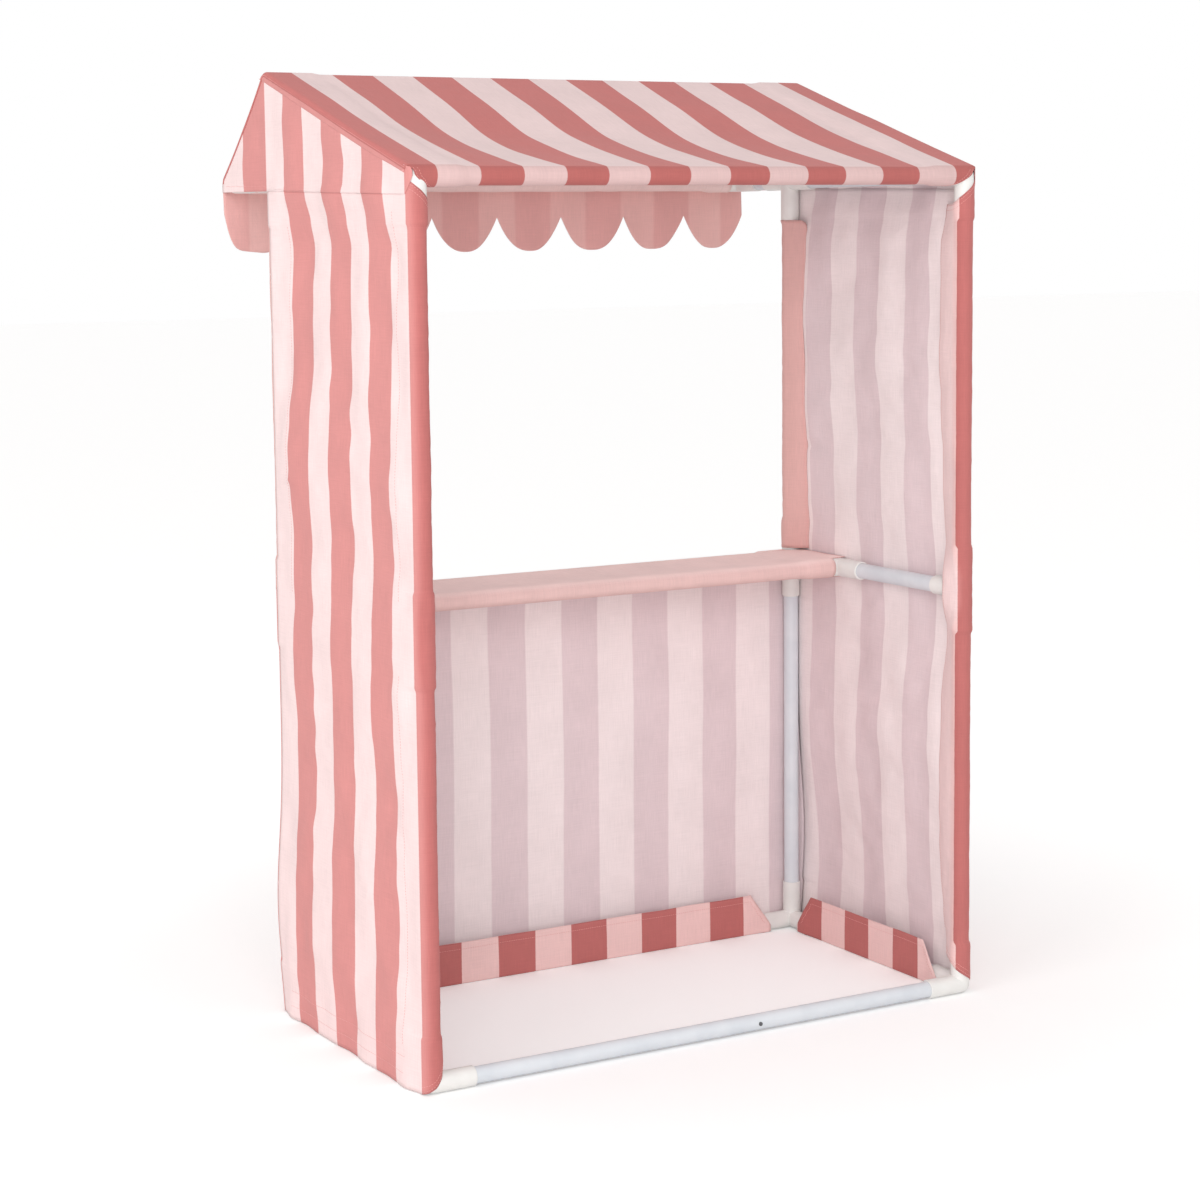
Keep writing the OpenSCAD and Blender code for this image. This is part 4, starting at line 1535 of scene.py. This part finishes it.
@dataclass
class FrontPanel:
    """The cloth below the counter, with the corners that go round the front posts.

    Args:
        stall: The frame.
        wall: A wall, which it meets at the posts.
        corner_z: Height of its corners, above the counter.
        corner_x: Place across the stall at which its upper edge starts to rise.
        seam_x: Place of the ends of its upper seam.
        bow_share: Share of the walls' bow that it has.
    """

    stall: StallFrame
    wall: WallCloth
    corner_z: float
    corner_x: float = 446 * MM
    seam_x: float = 430 * MM
    bow_share: float = 0.6

    def make(self, sewing: Sewing) -> None:
        """Makes the panel with its corners, and sews its lower hem.

        Args:
            sewing: Takes the stitches.
        """
        stall = self.stall
        arc = stall.over_arm * math.pi / 2
        half = stall.post_x + arc
        u = np.concatenate([
            np.linspace(half, stall.post_x, 7)[:-1], np.linspace(stall.post_x, -stall.post_x, 128),
            -np.linspace(stall.post_x, half, 7)[1:],
        ])
        rise = smooth((np.abs(u) - self.corner_x) / (18 * MM))
        top = stall.counter_z - 1 * MM + (self.corner_z - stall.counter_z + 1 * MM) * rise
        share = np.linspace(0, 1, 92)[:, None]
        low = self.wall.low_z
        z = low + (top - low) * share
        u = np.broadcast_to(u, z.shape)
        turn = np.clip((np.abs(u) - stall.post_x) / stall.over_arm, 0, math.pi / 2)
        r = stall.radius(z, stall.joint_heights)
        slack = self.wall.slack(np.full_like(z, stall.depth), z)
        wave = ripples(u, z, (2.8, 85, 120, 91), (1.4, 38, 300, 92))
        wave = wave + profile(z, WALL_BOW) * self.bow_share * (z < stall.counter_z)
        inner = smooth((stall.post_x - np.abs(u)) / (60 * MM))
        near_top = smooth((z - stall.counter_z + 60 * MM) / (60 * MM))
        guard = bell(z - stall.base_z, 22 * MM)
        wave = wave * (1 - near_top) * (1 - guard) + guard * 0.3 * MM
        lean = (stall.over_tube + 0.9 * MM - stall.over_arm) * near_top * inner
        out = r * (1 - inner) + (stall.over_arm + wave + lean) * inner
        out = out + slack * (0.5 + turn / math.pi) * (1 - inner)
        sign = np.sign(u)
        x = np.where(turn > 0, sign * (stall.post_x + out * np.sin(turn)), u)
        y = stall.front_y + out * np.cos(turn)
        grid = ClothGrid(u, z, np.stack([x, y, z], -1), None, -8 * MM)
        make_cloth(
            "front_panel_cloth", grid, CANVAS_FACE, CANVAS_BACK,
            ["front_panel"],
        )
        for height in (22 * MM, 45 * MM):
            sewing.run(grid.trace([(stall.post_x - 40 * MM, height), (40 * MM - stall.post_x, height)]))
        seam_z = stall.counter_z - 8 * MM
        sewing.run(grid.trace([(self.seam_x, seam_z), (-self.seam_x, seam_z)]))


@dataclass
class FrameParts:
    """The tubes and connectors, which keep their shapes and get their finishes."""

    finishes: Mapping[Slot, Finish]

    def dress(self) -> None:
        """Gives each node that keeps its shape its finish."""
        for part in frame["record"]["subparts"]:
            finish = self.finishes.get(Slot(part["material_slot"]))
            if finish is None:
                continue
            for place in frame["nodes"][part["node"]].material_slots:
                place.material = finish.build()
            LOG.info("%s: %s", part["node"], finish.name)


@dataclass(frozen=True)
class Studio:
    """The floor, the light and the camera."""

    camera_at: tuple[float, float, float] = (-2.0605, -3.5704, 1.2121)
    yaw: float = math.radians(-29.986)
    pitch: float = math.radians(-6.588)
    roll: float = math.radians(-0.606)
    lens: float = 79.57
    rise: float = -0.058
    floor_reach: float = 30.0

    def build(self) -> None:
        """Builds the floor, the light and the camera."""
        bpy.context.scene.view_settings.view_transform = "Standard"
        self.floor()
        self.surroundings()
        self.lamp("key", (-4.6, -1.6, 3.4), 3.2, 58.0, "FFFAF8")
        self.lamp("fill", (-2.5, -4.7, 1.7), 3.0, 104.0, "FFFFFF")
        self.camera()

    def floor(self) -> None:
        """Lays a pale floor, so light that the shadow on it stays but its edge doesn't show."""
        corners = np.array([(-1, -1, 0), (1, -1, 0), (1, 1, 0), (-1, 1, 0)]) * self.floor_reach
        piece = add_piece("studio_floor", corners, np.arange(4)[None])
        material = bpy.data.materials.new("studio_floor")
        material.use_nodes = True
        tree = material.node_tree
        shader = tree.nodes["Principled BSDF"]
        shader.inputs["Base Color"].default_value = linear("F7F7F7")
        shader.inputs["Roughness"].default_value = 0.95
        shader.inputs["Specular IOR Level"].default_value = 0.1
        path = add_node(tree, "ShaderNodeLightPath")
        # The floor brightens away from the stall, where the lamps reach it less
        place = add_node(tree, "ShaderNodeTexCoord").outputs["Object"]
        away = add_node(tree, "ShaderNodeVectorMath", {"operation": "LENGTH"}, {0: place}).outputs["Value"]
        strength = add_node(tree, "ShaderNodeMapRange", {"interpolation_type": "SMOOTHSTEP"}, {
            0: away, 1: 0.6, 2: 1.5, 3: 0.20, 4: 0.30,
        }).outputs[0]
        glow = add_node(tree, "ShaderNodeEmission", None, {"Color": (1, 1, 1, 1), "Strength": strength})
        added = add_node(tree, "ShaderNodeAddShader", None, {0: shader.outputs[0], 1: glow.outputs[0]})
        seen = add_node(tree, "ShaderNodeMixShader", None, {
            0: path.outputs["Is Camera Ray"], 1: shader.outputs[0], 2: added.outputs[0],
        })
        tree.links.new(seen.outputs[0], tree.nodes["Material Output"].inputs["Surface"])
        piece.data.materials.append(material)

    def surroundings(self) -> None:
        """Surrounds the stall with soft light, seen as plain white."""
        world = bpy.data.worlds.new("studio")
        bpy.context.scene.world = world
        world.use_nodes = True
        tree = world.node_tree
        tree.nodes.clear()
        path = add_node(tree, "ShaderNodeLightPath")
        ambient = add_node(tree, "ShaderNodeBackground", None, {
            "Color": (1, 0.99, 0.985, 1), "Strength": 0.73,
        })
        white = add_node(tree, "ShaderNodeBackground", None, {"Color": (1, 1, 1, 1), "Strength": 1.0})
        seen = path.outputs["Is Camera Ray"]
        for ray in ("Is Glossy Ray", "Is Transmission Ray"):
            seen = add_node(tree, "ShaderNodeMath", {"operation": "MAXIMUM"}, {
                0: seen, 1: path.outputs[ray],
            }).outputs[0]
        mixed = add_node(tree, "ShaderNodeMixShader", None, {
            0: seen, 1: ambient.outputs[0], 2: white.outputs[0],
        })
        add_node(tree, "ShaderNodeOutputWorld", None, {"Surface": mixed.outputs[0]})

    def lamp(
        self, name: str, at: tuple[float, float, float], size: float, power: float, colour: str,
    ) -> None:
        """Hangs a soft square lamp that points at the middle of the stall.

        Args:
            name: Name of the lamp.
            at: Its place.
            size: Length of its side.
            power: Its power, in watts.
            colour: Its colour.
        """
        data = bpy.data.lights.new(name, "AREA")
        data.size, data.energy = size, power
        data.color = linear(colour)[:3]
        lamp = bpy.data.objects.new(name, data)
        bpy.context.scene.collection.objects.link(lamp)
        lamp.location = at
        aim = Vector((0, 0, 0.7)) - lamp.location
        lamp.rotation_euler = aim.to_track_quat("-Z", "Y").to_euler()

    def camera(self) -> None:
        """Places the camera."""
        data = bpy.data.cameras.new("camera")
        data.lens, data.sensor_width, data.shift_y = self.lens, 36.0, self.rise
        camera = bpy.data.objects.new("camera", data)
        bpy.context.scene.collection.objects.link(camera)
        camera.location = self.camera_at
        aim = Euler((math.pi / 2 + self.pitch, 0.0, self.yaw)).to_matrix()
        camera.rotation_euler = (aim @ Matrix.Rotation(self.roll, 3, "Z")).to_euler()
        bpy.context.scene.camera = camera


def main() -> None:
    """Builds the cloth, dresses the frame and sets up the studio."""
    logging.basicConfig(level=logging.INFO, format="%(message)s")
    stall = StallFrame.measure()
    seam_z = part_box("wall_left")[1].z
    sewing = Sewing("sewing_on_stripes")
    plain_sewing = Sewing("sewing_on_pink")
    roof = RoofCloth(stall)
    roof.make(sewing)
    for side in Side:
        wall = WallCloth(stall, side, seam_z)
        wall.make(sewing)
        RoofBand(stall, side, roof).make()
        GableCloth(stall, side, roof, wall).make(sewing)
        low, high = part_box("front_sleeve_left")
        FrontSleeve(stall, side, wall, low.z, high.z).make(plain_sewing)
        name = side.name.lower()
        hem = HemFlap(
            stall, f"hem_cloth_{name}", stall.depth, f"side_hem_{name}", "side_bottom_tubes",
            wall.stripe_shift - stall.depth / 2, inset=40 * MM,
        )
        middle = (stall.rear_y + stall.front_y) / 2
        hem.make(sewing, (-stall.post_x, middle), math.pi / 2, side)
    FrontPanel(stall, wall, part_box("front_panel")[1].z).make(sewing)
    front_hem = HemFlap(
        stall, "hem_cloth_front", 2 * stall.post_x, "front_hem", "front_bottom_tube",
        -14 * MM, inset=54 * MM,
    )
    front_hem.make(sewing, (0.0, stall.front_y), 0.0)
    CounterCover(stall).make(plain_sewing)
    Valance(stall, stall.eave_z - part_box("valance")[0].z).make(sewing)
    RailCasing(stall).make()
    sewing.make(Slot.STRIPED)
    plain_sewing.make(Slot.PINK)
    FrameParts({Slot.TUBE: POWDER_COAT, Slot.CONNECTOR: MOULDED, Slot.BUTTON: ZINC}).dress()
    Studio().build()


if __name__ == "__main__":
    main()
